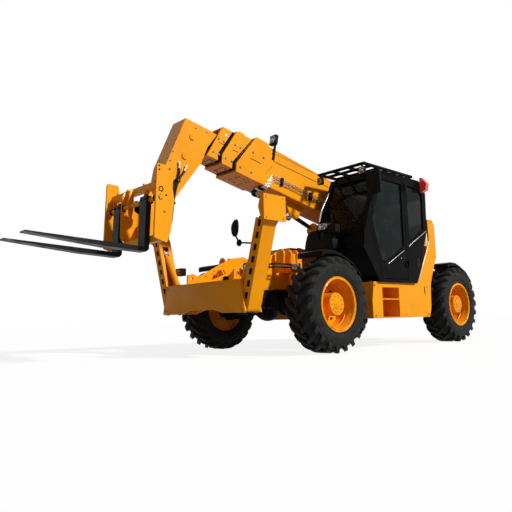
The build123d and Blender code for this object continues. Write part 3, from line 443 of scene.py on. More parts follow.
class Finish:
    """A material, and the nodes that it is made of."""

    def __init__(self, name, **steady):
        self.material = bpy.data.materials.new(name)
        self.material.use_nodes = True
        self.tree = self.material.node_tree
        self.shader = self.tree.nodes["Principled BSDF"]
        for key, value in steady.items():
            self.shader.inputs[key.replace("_", " ")].default_value = value

    def node(self, kind, settings=None, sockets=None, output=0):
        """A new node's output, with its settings set before its sockets are fed."""
        node = self.tree.nodes.new(kind)
        for key, value in (settings or {}).items():
            setattr(node, key, value)
        for key, value in (sockets or {}).items():
            self.feed(node.inputs[key], value)
        return Tone(self, node.outputs[output])

    def feed(self, socket, value):
        """Links a tone to the socket, or sets the socket's own value."""
        if isinstance(value, Tone):
            self.tree.links.new(value.socket, socket)
        else:
            socket.default_value = value

    def place(self):
        """The point on the piece, in metres."""
        return self.node("ShaderNodeTexCoord", output=3)

    def noise(self, scale, detail=3, rough=0.5, stretch=(1, 1, 1)):
        where = self.node("ShaderNodeMapping", {}, {"Vector": self.place(), "Scale": stretch})
        return self.node("ShaderNodeTexNoise", {}, {
            "Vector": where, "Scale": scale, "Detail": detail, "Roughness": rough})

    def cells(self, scale, feature="F1"):
        return self.node("ShaderNodeTexVoronoi", {"feature": feature}, {"Vector": self.place(), "Scale": scale})

    def height(self):
        """Height over the ground, in metres."""
        return self.node("ShaderNodeSeparateXYZ", {}, {0: self.place()}, output=2)

    def along(self):
        """Place along the machine, in metres."""
        return self.node("ShaderNodeSeparateXYZ", {}, {0: self.place()}, output=0)

    def mix(self, share, first, second):
        """The first colour, turned into the second by the share."""
        return self.node("ShaderNodeMix", {"data_type": "RGBA"}, {0: share, 6: first, 7: second}, output=2)

    def wear(self, **values):
        """Feeds the shader's named sockets."""
        for key, value in values.items():
            self.feed(self.shader.inputs[key.replace("_", " ")], value)

    def bumped(self, height, strength, distance):
        """Feeds the shader's normal from a height."""
        self.wear(Normal=self.node("ShaderNodeBump", {}, {
            "Height": height, "Strength": strength, "Distance": distance}))


def shade(colour, factor):
    """The colour, lighter or darker."""
    return (*[min(1, part * factor) for part in colour[:3]], 1)


def paint_finish(name, colour, low=0.75, gloss=0.36):
    """Sprayed paint: orange peel, faint unevenness, road dust low down, and small chips."""
    paint = Finish(name, Coat_Weight=0.05, Coat_Roughness=0.12, Specular_IOR_Level=0.14)
    uneven = paint.noise(2.2, 4)
    fine = paint.noise(38, 3)
    colours = paint.mix(uneven.above(0.35, 0.75), (*colour, 1), shade(colour, 0.88))
    dusty = (1 - paint.height().above(0.15, low)) * paint.noise(9, 5, 0.62).above(0.42, 0.7)
    colours = paint.mix(dusty * 0.34, colours, (0.16, 0.09, 0.04, 1))
    chips = (1 - paint.cells(26).above(0.045, 0.07)) * paint.noise(3.1, 2).above(0.6, 0.66)
    colours = paint.mix(chips * 0.55, colours, shade(colour, 0.3))
    paint.wear(Base_Color=colours, Roughness=gloss + fine * 0.12 + dusty * 0.3)
    paint.bumped(paint.noise(210, 2) * 0.5 + uneven * 0.4 - chips * 0.8, 0.12, 0.002)
    return paint.material


def black_finish(name, level=0.012, rough=0.33, grain=320, bump=0.12, coat=0.02):
    """Black paint or moulded plastic with a fine grain, dusty in patches."""
    black = Finish(name, Coat_Weight=coat, Coat_Roughness=0.2, Specular_IOR_Level=0.02)
    patch = black.noise(6, 5, 0.6).above(0.45, 0.75)
    dust = patch * (1 - black.height().above(0.4, 1.5)) * 0.35
    colours = black.mix(patch, (level, level, level * 1.05, 1), (level * 1.6, level * 1.55, level * 1.5, 1))
    colours = black.mix(dust * 0.3, colours, (0.06, 0.05, 0.04, 1))
    black.wear(Base_Color=colours, Roughness=rough + patch * 0.12 + dust * 0.4)
    black.bumped(black.cells(grain) + black.noise(40, 3) * 0.5, bump, 0.0008)
    return black.material


def rubber_finish():
    """Tyre rubber: fine pores, dry scuffs, and dust worked into the tread."""
    rubber = Finish("worn_rubber", Specular_IOR_Level=0.08)
    scuffs = rubber.noise(13, 6, 0.68).above(0.4, 0.72)
    streak = rubber.noise(60, 3, 0.5)
    colours = rubber.mix(scuffs, (0.012, 0.012, 0.012, 1), (0.03, 0.029, 0.027, 1))
    dust = rubber.noise(4, 5, 0.7).above(0.55, 0.8)
    colours = rubber.mix(dust * 0.4, colours, (0.065, 0.055, 0.042, 1))
    rubber.wear(Base_Color=colours, Roughness=0.62 + scuffs * 0.2 + dust * 0.1)
    rubber.bumped(streak * 0.6 + rubber.noise(400, 2) * 0.35, 0.3, 0.0015)
    return rubber.material


def metal_finish(name, colour, rough=0.28, scale=90, stretch=(1, 1, 1), dark=0.55):
    """Bare or plated metal with fine drawing marks and duller patches."""
    metal = Finish(name, Metallic=1.0)
    lines = metal.noise(scale, 4, 0.6, stretch)
    patch = metal.noise(11, 5, 0.6).above(0.4, 0.75)
    metal.wear(Base_Color=metal.mix(patch * 0.6, (*colour, 1), shade(colour, dark)),
               Roughness=rough + lines * 0.12 + patch * 0.18)
    metal.bumped(lines, 0.08, 0.0006)
    return metal.material


def fork_finish(colour):
    """Black forged forks, scraped bright towards their tips."""
    fork = Finish("fork_black", Specular_IOR_Level=0.12)
    patch = fork.noise(7, 5, 0.6).above(0.4, 0.7)
    reach = fork.along().above(at(5600, 0, 0).x, at(6400, 0, 0).x)
    scrapes = fork.noise(30, 6, 0.7, (0.15, 1, 1)).above(0.56, 0.64) * reach
    colours = fork.mix(patch, (*colour, 1), shade(colour, 1.7))
    fork.wear(Base_Color=fork.mix(scrapes * 0.6, colours, (0.28, 0.26, 0.24, 1)),
              Roughness=0.4 + patch * 0.2 - scrapes * 0.1, Metallic=scrapes * 0.6)
    fork.bumped(fork.noise(120, 4) + scrapes * 0.3, 0.2, 0.001)
    return fork.material


def glass_finish(name, colour, clear):
    """Tinted safety glass, see-through, with a faint film of dust in patches."""
    glass = Finish(name, Specular_IOR_Level=0.06)
    film = glass.noise(5, 4, 0.6).above(0.5, 0.8)
    glass.wear(Base_Color=glass.mix(film * 0.4, (*colour, 1), (0.05, 0.055, 0.05, 1)),
               Alpha=film * 0.05 + (1 - clear), Roughness=film * 0.12 + 0.03)
    glass.bumped(glass.noise(3, 1), 0.02, 0.002)
    return glass.material


def lens_finish(name, colour, glow=0.0):
    """Moulded lamp lens with fine ribs."""
    lens = Finish(name, Coat_Weight=0.6, Coat_Roughness=0.04)
    ribs = lens.node("ShaderNodeTexWave", {"bands_direction": "Z"}, {
        "Vector": lens.place(), "Scale": 34.0, "Distortion": 0.3})
    tone = lens.mix(ribs, (*colour, 1), shade(colour, 0.72))
    lens.wear(Base_Color=tone, Roughness=ribs * 0.15 + 0.1)
    if glow:
        lens.wear(Emission_Color=tone, Emission_Strength=glow)
    lens.bumped(ribs + lens.noise(300, 2) * 0.1, 0.4, 0.0015)
    return lens.material


def facet_glints_finish():
    """Lamp reflector seen through its glass: facets painted bright and dark, a painted reflection of the lamp's
    mirror.
    """
    facets = Finish("lamp_facets", Metallic=0.7, Coat_Weight=0.4, Coat_Roughness=0.03)
    cell = facets.cells(46)
    # bright and dark cells in the base colour are painted reflections
    facets.wear(Base_Color=facets.mix(cell.above(0.2, 0.6), (0.55, 0.5, 0.45, 1), (0.05, 0.04, 0.035, 1)),
                Roughness=cell * 0.2 + 0.1)
    facets.bumped(cell, 0.6, 0.004)
    return facets.material


def cloth_finish():
    """Woven seat fabric: two crossing sets of threads and a soft fleck."""
    cloth = Finish("woven_fabric", Sheen_Weight=0.35, Sheen_Roughness=0.5, Specular_IOR_Level=0.2)
    where = cloth.place()
    sets = [cloth.node("ShaderNodeTexWave", {"bands_direction": way}, {
        "Vector": where, "Scale": 95.0, "Distortion": 0.6, "Detail": 1.0}) for way in ("X", "Y", "Z")]
    weave = sets[0] * sets[1] + sets[2] * 0.5
    fleck = cloth.cells(420).above(0.3, 0.6)
    dark, light = (0.02, 0.021, 0.024, 1), (0.075, 0.078, 0.085, 1)
    cloth.wear(Base_Color=cloth.mix(weave * 0.7 + fleck * 0.2, dark, light), Roughness=0.8 + weave * 0.1)
    cloth.bumped(weave + fleck * 0.3, 0.5, 0.0012)
    return cloth.material


def hose_finish():
    """Black braided hose: crossed ribs under a rubber skin."""
    hose = Finish("hose_rubber", Specular_IOR_Level=0.12)
    ribs = hose.cells(260, "SMOOTH_F1")
    dust = hose.noise(14, 4).above(0.5, 0.75)
    hose.wear(Base_Color=hose.mix(dust * 0.5, (0.011, 0.011, 0.012, 1), (0.045, 0.042, 0.036, 1)),
              Roughness=0.5 + dust * 0.25)
    hose.bumped(ribs, 0.35, 0.001)
    return hose.material


def tread_finish(colour):
    """Step tread: painted plate with worn, bright rows of raised teeth."""
    tread = Finish("step_tread", Specular_IOR_Level=0.14)
    rows = tread.node("ShaderNodeTexWave", {"bands_direction": "X"}, {
        "Vector": tread.place(), "Scale": 22.0, "Distortion": 0.0})
    worn = rows.above(0.62, 0.9) * tread.noise(24, 4).above(0.35, 0.6)
    tread.wear(Base_Color=tread.mix(worn * 0.5, shade(colour, 0.8), (0.3, 0.26, 0.2, 1)),
               Roughness=0.5 - worn * 0.15, Metallic=worn * 0.5)
    tread.bumped(rows.above(0.5, 0.75), 0.6, 0.004)
    return tread.material


# ---- what a user sets
class HandlerSizes(bpy.types.PropertyGroup):
    """Sizes that a user of the scene would change."""

    lug_width: FloatProperty(name="Lug width", description="Tread lug's width at its top",
                             default=0.05, min=0.03, max=0.08, unit="LENGTH")
    tread_depth: FloatProperty(name="Tread depth", description="Lug's height over the tyre's tread",
                               default=0.04, min=0.01, max=0.06, unit="LENGTH")
    lugs: IntProperty(name="Lugs a row", description="Lugs on each half of the tread",
                      default=22, min=12, max=30)
    bolt: FloatProperty(name="Bolt head", description="Half the width of a usual bolt head",
                        default=0.012, min=0.006, max=0.02, unit="LENGTH")
    hose: FloatProperty(name="Hose", description="Diameter of the hydraulic hoses",
                        default=0.024, min=0.012, max=0.04, unit="LENGTH")


class HandlerColours(bpy.types.PropertyGroup):
    """Colours that a user of the scene would change."""

    body: FloatVectorProperty(name="Body", description="Machine's main paint", subtype="COLOR",
                              default=(0.96, 0.352, 0.002), min=0, max=1)
    cab: FloatVectorProperty(name="Cab", description="Cab's and guards' black", subtype="COLOR",
                             default=(0.004, 0.004, 0.0046), min=0, max=1)
    glass: FloatVectorProperty(name="Glass", description="Tint of the panes", subtype="COLOR",
                               default=(0.006, 0.009, 0.009), min=0, max=1)
    clear: FloatProperty(name="See-through", description="Share of light that a pane lets through",
                         default=0.36, min=0, max=1, subtype="FACTOR")
    lamp: FloatVectorProperty(name="Warning lamp", description="Rear lamps' lens", subtype="COLOR",
                              default=(0.9, 0.06, 0.035), min=0, max=1)


# ---- the makers
class Maker(bpy.types.Operator):
    """What every maker of a group of pieces shares."""

    bl_idname = "handler.none"
    bl_label = "Nothing"
    bl_options = {"REGISTER"}

    def execute(self, context):
        before = set(bpy.data.objects)
        self.sizes = context.scene.handler_sizes
        self.colours = context.scene.handler_colours
        self.make()
        loose()
        if self.adds and not set(bpy.data.objects) - before:
            raise RuntimeError(f"{self.bl_label}: nothing was made")
        return {"FINISHED"}

    adds = True

    def make(self):
        raise RuntimeError(f"{self.bl_label} has nothing to make")

    def dress(self, piece, finish, body="chassis", slot=None):
        """Gives the piece a finish by its name, and the body that it rides on."""
        return clad(piece, bpy.data.materials[finish], body)

    def put(self, name, pieces, finish, body="chassis", slot=None):
        """Joins the pieces as one named piece, and dresses it."""
        return self.dress(joined(name, *pieces), finish, body, slot)

    def scatter(self, name, pattern, places, finish, body="chassis"):
        """Copies the pattern to all the places as one named piece, and dresses it."""
        return self.dress(copies(name, pattern, places), finish, body)


SLOT_FINISH = {
    "body_paint": "body_yellow", "wheel_paint": "wheel_yellow", "axle_paint": "axle_black",
    "guard_paint": "guard_black", "cab_paint": "cab_black", "fork_paint": "fork_black",
    "ram_paint": "ram_yellow", "rod_chrome": "polished_chrome", "pipe_steel": "pipe_zinc",
    "engine_iron": "cast_iron", "tyre_rubber": "worn_rubber", "window_glass": "cab_tint",
    "seat_fabric": "woven_fabric", "dash_plastic": "dash_grey", "trim_plastic": "trim_black",
    "lamp_plastic": "lamp_red",
}


class MakeFinishes(Maker):
    """Makes the finishes and puts them on the frame's own nodes"""

    bl_idname = "handler.finishes"
    bl_label = "Finishes"
    adds = False

    def make(self):
        body, cab = tuple(self.colours.body), tuple(self.colours.cab)
        made = [
            paint_finish("body_yellow", body),
            paint_finish("wheel_yellow", shade(body, 0.97)[:3], low=0.9, gloss=0.42),
            paint_finish("ram_yellow", shade(body, 0.92)[:3], gloss=0.42),
            black_finish("axle_black", 0.014, 0.5, 180, 0.25, 0.0),
            black_finish("guard_black", 0.008, 0.34, 300, 0.1, 0.02),
            black_finish("cab_black", cab[0], 0.3, 420, 0.05, 0),
            black_finish("trim_black", 0.013, 0.42, 500, 0.2, 0.0),
            black_finish("seal_black", 0.006, 0.6, 500, 0.15, 0.0),
            # black of the wear pads, also standing as painted shade in the gaps at the boom's mouths
            black_finish("pad_black_gap_shade", 0.006, 0.62, 200, 0.2, 0.0),
            black_finish("dash_grey", 0.03, 0.55, 380, 0.35, 0.0),
            fork_finish(cab),
            metal_finish("polished_chrome", (0.62, 0.62, 0.62), 0.08, 60, (0.05, 1, 1), 0.8),
            metal_finish("pipe_zinc", (0.62, 0.6, 0.56), 0.26, 70),
            metal_finish("bolt_steel", (0.17, 0.165, 0.16), 0.34, 150),
            metal_finish("mirror_silver", (0.75, 0.77, 0.8), 0.02, 8, dark=0.95),
            metal_finish("cast_iron", (0.2, 0.2, 0.2), 0.5, 40, dark=0.4),
            rubber_finish(),
            hose_finish(),
            glass_finish("cab_tint", tuple(self.colours.glass), self.colours.clear),
            # The door's pane is a darker copy of the cab glass: painted shade of the dark cab seen through it.
            glass_finish("door_tint_painted_shade", tuple(self.colours.glass), self.colours.clear * 0.4),
            lens_finish("lamp_red", tuple(self.colours.lamp), glow=0.12),
            lens_finish("lamp_clear", (0.62, 0.64, 0.66)),
            lens_finish("lamp_amber", (0.8, 0.22, 0.02)),
            facet_glints_finish(),
            cloth_finish(),
            tread_finish(body),
        ]
        self.report({"INFO"}, f"{len(made)} finishes")
        for name, node in frame["nodes"].items():
            for place in node.material_slots:
                slot = place.material.name.split(".")[0]
                # The door's pane takes the darker glass, its painted shade.
                finish = "door_tint_painted_shade" if name == "door_glass" else SLOT_FINISH[slot]
                place.material = bpy.data.materials[finish]


class MakeStage(Maker):
    """Makes the floor, the light and the camera"""

    bl_idname = "handler.stage"
    bl_label = "Stage"

    def make(self):
        self.floor()
        self.world()
        self.lights()
        self.camera()
        view = bpy.context.scene.view_settings
        view.view_transform = "Standard"

    def seen(self, tree):
        """1 for rays that look at the background, straight or by a mirror or a pane."""
        rays = tree.nodes.new("ShaderNodeLightPath")
        total = None
        for name in ("Is Glossy Ray", "Is Transmission Ray"):
            add = tree.nodes.new("ShaderNodeMath")
            add.operation = "MAXIMUM"
            tree.links.new(total or rays.outputs["Is Camera Ray"], add.inputs[0])
            tree.links.new(rays.outputs[name], add.inputs[1])
            total = add.outputs[0]
        return total

    def floor(self):
        bpy.ops.mesh.primitive_grid_add(x_subdivisions=8, y_subdivisions=8, size=120, location=(0, 0, -0.002))
        floor = settle(bpy.context.object, "floor")
        pale = Finish("floor_pale", Specular_IOR_Level=0.0)
        pale.wear(Base_Color=pale.mix(pale.noise(0.6, 3), (0.3, 0.3, 0.3, 1), (0.32, 0.32, 0.32, 1)),
                  Roughness=0.9)
        bright = pale.node("ShaderNodeEmission", {}, {"Color": (1, 1, 1, 1), "Strength": 0.86})
        faint = pale.node("ShaderNodeBsdfDiffuse", {}, {"Color": (0.16, 0.16, 0.16, 1)})
        shown = pale.node("ShaderNodeAddShader", {}, {0: bright, 1: faint})
        out = pale.tree.nodes["Material Output"]
        both = pale.node("ShaderNodeMixShader", {}, {
            0: Tone(pale, self.seen(pale.tree)), 1: Tone(pale, pale.shader.outputs[0]), 2: shown})
        pale.tree.links.new(both.socket, out.inputs["Surface"])
        floor.data.materials.append(pale.material)

    def world(self):
        world = bpy.data.worlds.new("studio")
        bpy.context.scene.world = world
        world.use_nodes = True
        tree = world.node_tree
        dim = tree.nodes["Background"]
        dim.inputs["Color"].default_value = (1, 1, 1, 1)
        dim.inputs["Strength"].default_value = 0.13
        bright = tree.nodes.new("ShaderNodeBackground")
        bright.inputs["Strength"].default_value = 1.0
        bright.inputs["Color"].default_value = (1, 1, 1, 1)
        both = tree.nodes.new("ShaderNodeMixShader")
        tree.links.new(self.seen(tree), both.inputs[0])
        tree.links.new(dim.outputs[0], both.inputs[1])
        tree.links.new(bright.outputs[0], both.inputs[2])
        tree.links.new(both.outputs[0], tree.nodes["World Output"].inputs["Surface"])

    def lights(self):
        for name, strength, way, width in (
                ("key", 3.6, (-0.28, 0.78, 0.58), 5), ("fill", 0.14, (0.7, 0.2, 0.5), 40)):
            bpy.ops.object.light_add(type="SUN", location=at(0, 0, 6000))
            lamp = bpy.context.object
            lamp.name = name
            lamp.data.energy = strength
            lamp.data.angle = math.radians(width)
            lamp.rotation_euler = Vector(way).to_track_quat("Z", "Y").to_euler()

    def camera(self):
        bpy.ops.object.camera_add(location=at(8251.8, 5255.9, 439.6))
        camera = bpy.context.object
        camera.name = "camera"
        yaw, pitch, roll = (math.radians(turn) for turn in (227.36, 6.78, -1.41))
        ahead = Vector((math.cos(yaw) * math.cos(pitch), math.sin(yaw) * math.cos(pitch), math.sin(pitch)))
        side = ahead.cross(Vector((0, 0, 1))).normalized()
        up = side.cross(ahead)
        across = math.cos(roll) * side + math.sin(roll) * up
        above = math.cos(roll) * up - math.sin(roll) * side
        turn = Matrix((across, above, -ahead)).transposed()
        camera.rotation_euler = turn.to_euler()
        camera.data.sensor_width = 36
        camera.data.lens = 37.707
        camera.data.shift_x = 0.00789
        camera.data.shift_y = -0.00287
        camera.data.clip_end = 200
        bpy.context.scene.camera = camera


# ---- wheels
TREAD_R = 0.5815  # lugs' tops, in metres
LUG_PITCH_R = 0.56  # where a lug's slant and width are measured
WHEELS = [(end, side) for end in ("front", "rear") for side in ("left", "right")]


def wheel_place(end, side):
    """Where a wheel drawn about Z goes, its outer face away from the machine."""
    sign = 1 if side == "left" else -1
    return Matrix.Translation(at(AXLES[end], sign * TRACK, TYRE_R)) @ Matrix.Rotation(
        math.radians(-90 * sign), 4, "X")


class MakeTyres(Maker):
    """Makes the four tyres with their lugs, in place of the plain ones"""

    bl_idname = "handler.tyres"
    bl_label = "Tyres"

    def lug(self):
        """One slanted lug on the outer half, at angle 0: a bar bent over the tread and shoulder."""
        bpy.ops.mesh.primitive_cube_add(size=1)
        lug = settle(bpy.context.object, "lug")
        mark(lug, "EDGE", lambda e: abs(sum((lug.data.vertices[v].co.x) for v in e.vertices)) < 0.01)
        bpy.ops.mesh.subdivide(number_cuts=9)
        leave()
        half_w = self.sizes.lug_width / 2
        for vertex in lug.data.vertices:
            along, across, up = (part + 0.5 for part in vertex.co)
            axial, top = self.spine(along)
            way = 0.088 - 0.172 * along ** 1.25
            spread = half_w * (0.86 + 0.34 * along) + (0.0 if up > 0.5 else 0.011)
            radius = top if up > 0.5 else self.foot(along)
            turn = (way + (across - 0.5) * 2 * spread) / LUG_PITCH_R
            lean = 0.0 if up > 0.5 else -0.004
            vertex.co = (radius * math.cos(turn), radius * math.sin(turn), axial + lean)
        outward(lug)
        return rounded(lug, 3.5, 2, 30)

    def spine(self, along):
        """Place across the tyre and top radius of the lug, from the middle out to the sidewall."""
        stops = ((0, -0.014, TREAD_R), (0.7, 0.135, TREAD_R), (0.86, 0.172, 0.569), (0.94, 0.187, 0.545),
                 (1, 0.192, 0.508))
        return self.between(stops, along)

    def foot(self, along):
        depth = self.sizes.tread_depth + 0.008
        stops = ((0, 0, TREAD_R - depth), (0.7, 0, 0.575 - depth), (0.86, 0, 0.552 - depth),
                 (0.94, 0, 0.5), (1, 0, 0.485))
        return self.between(stops, along)[1]

    def between(self, stops, along):
        for (a, *first), (b, *second) in zip(stops, stops[1:]):
            if along <= b + 1e-6:
                share = (along - a) / (b - a)
                return [p + (q - p) * share for p, q in zip(first, second)]
        return stops[-1][1:]

    def carcass(self):
        """Tyre without its lugs, turned about Z."""
        tread = 1000 * (TREAD_R - self.sizes.tread_depth)
        half = [(tread, 0), (tread - 1, 60), (tread - 6, 118), (tread - 18, 152), (tread - 42, 176),
                (500, 181), (478, 189), (462, 194), (440, 196), (432, 194), (424, 196), (396, 195),
                (376, 191), (362, 184), (358, 186), (349, 186), (343, 179), (338, 172), (333, 168)]
        profile = half + [(333, 120), (333, -120)] + [(r, -a) for r, a in reversed(half[1:])]
        return turned("tyre", profile, Matrix(), 96, closed=True)

    def make(self):
        count = self.sizes.lugs
        turns = [Matrix.Rotation(2 * math.pi * (i + 0.5) / count, 4, "Z") for i in range(count)]
        near = self.lug()
        far = twin(near)
        far.data.transform(Matrix.Scale(-1, 4, (0, 0, 1)))
        outward(far)
        half_step = Matrix.Rotation(math.pi / count, 4, "Z")
        rows = [copies("near_row", near, turns), copies("far_row", far, [half_step @ t for t in turns])]
        model = joined("tyre", self.carcass(), *rows)
        smooth(model, 32)
        for end, side in WHEELS:
            tyre = twin(model)
            tyre.name = f"tyre_lugged_{end}_{side}"
            tyre.data.transform(wheel_place(end, side))
            self.dress(tyre, "worn_rubber", f"wheel_{end}_{side}", "tyre_rubber")
            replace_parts(tyre, f"tyre_{end}_{side}")
        bpy.data.objects.remove(model)


class MakeWheelFittings(Maker):
    """Makes the rims' beads, disc rings, hub bolts, plugs and valves"""

    bl_idname = "handler.wheel_fittings"
    bl_label = "Wheel fittings"

    def make(self):
        lip = TYRE_HALF - 27
        bead = [(299, lip - 1), (300, lip + 5), (306, lip + 8), (314, lip + 4), (318, lip + 2), (324, lip + 4),
                (328, lip + 9), (332, lip + 9), (332.2, lip + 3), (332, lip - 1)]
        step = [(297, 128), (290, 132), (288, 118), (285, 112), (285, 62), (276, 56), (276, 50), (297, 50)]
        cover = [(0.5, 150), (52, 150), (58, 148), (60, 144.5), (118, 144.5), (124, 147), (129, 146),
                 (132, 142), (137.6, 136), (138.6, 120), (138.6, 96), (137, 92)]
        stem = [(3, 44), (3, 34), (4.6, 33), (4.6, 14), (6.5, 12), (6.5, 0)]
        for end, side in WHEELS:
            place = wheel_place(end, side)
            body = f"wheel_{end}_{side}"
            pieces = [turned("ring", profile, place, 96, closed=True) for profile in (bead, step)]
            self.put(f"rim_bead_{end}_{side}", pieces, "wheel_yellow", body, "wheel_paint")
            cap = turned(f"hub_cap_{end}_{side}", cover, place, 72)
            self.dress(cap, "wheel_yellow", body, "wheel_paint")
            heads = [copies("heads", hex_bolt(size, 5), around(place, count, radius / 1000, height / 1000))
                     for count, radius, height, size in ((10, 96, 144, 8.5), (3, 26, 149.5, 6))]
            self.put(f"hub_bolts_{end}_{side}", heads, "wheel_yellow", body)
            self.scatter(f"wheel_nuts_{end}_{side}", hex_bolt(15, 16), around(place, 10, 0.205, -0.0575, 0.5),
                         "bolt_steel", body)
            foot = place @ Matrix.Translation((0.262, 0, -0.054))
            self.dress(solid(f"valve_{end}_{side}", stem, foot, 16), "bolt_steel", body)


# ---- boom
# Each section's mouth: body, half width and low n over its collar, slot's and bolts' places.
COLLARS = (
    {"body": "boom", "half": 208, "low": -477, "upper": ((4101, 4004, 3908), -110),
     "slot": (4134, 3942, -207), "lower": ((4278, 4187, 4087), -396), "under": ((4200, 4110, 4023), 100)},
    {"body": "stage_2", "half": 179, "low": -448, "upper": ((4394, 4350, 4303), -121),
     "slot": (4432, 4332, -200), "lower": ((4515, 4465, 4414), -360), "under": ((4471, 4424, 4375), 80)},
    {"body": "stage_3", "half": 150, "low": -419, "upper": ((4646, 4602, 4560), -135),
     "slot": (4631, 4552, -178), "lower": ((4698, 4654, 4609), -340), "under": ((4681, 4640, 4597), 68)},
)
# Each mouth's line on its side, and the next section's half width, top and bottom inside it.
MOUTHS = (
    {"top": 4078, "kink": (4350, -362), "low": 4340, "next": (167, 67, -436)},
    {"top": 4400, "kink": (4573, -331), "low": 4560, "next": (138, 38, -407)},
    {"top": 4611, "kink": (4778, -400), "low": 4784, "next": (109, -71, -378)},
)
BAND = 40  # the length along the boom of a mouth's black band: partly wear pad, partly painted shade of the gap
BAND_T = 10  # and its height over the next section


def slit(name, start, end, wide=5, proud=1.2):
    """A thin dark strip from start to end on a face square to Y, points in metres."""
    way = end - start
    middle = (start + end) / 2
    bpy.ops.mesh.primitive_cube_add(size=1)
    piece = bpy.context.object
    piece.scale = (way.length, proud * 2 / 1000, wide / 1000)
    settle(piece, name)
    mark(piece, "EDGE", lambda e: abs(sum(piece.data.vertices[v].co.x for v in e.vertices)) > way.length * 0.9
         and abs(sum(piece.data.vertices[v].co.z for v in e.vertices)) > wide / 1500)
    bpy.ops.mesh.bevel(offset=wide / 2100, segments=3, affect="EDGES")
    leave()
    turn = way.to_track_quat("X", "Z").to_matrix().to_4x4()
    piece.data.transform(Matrix.Translation(middle) @ turn)
    return piece


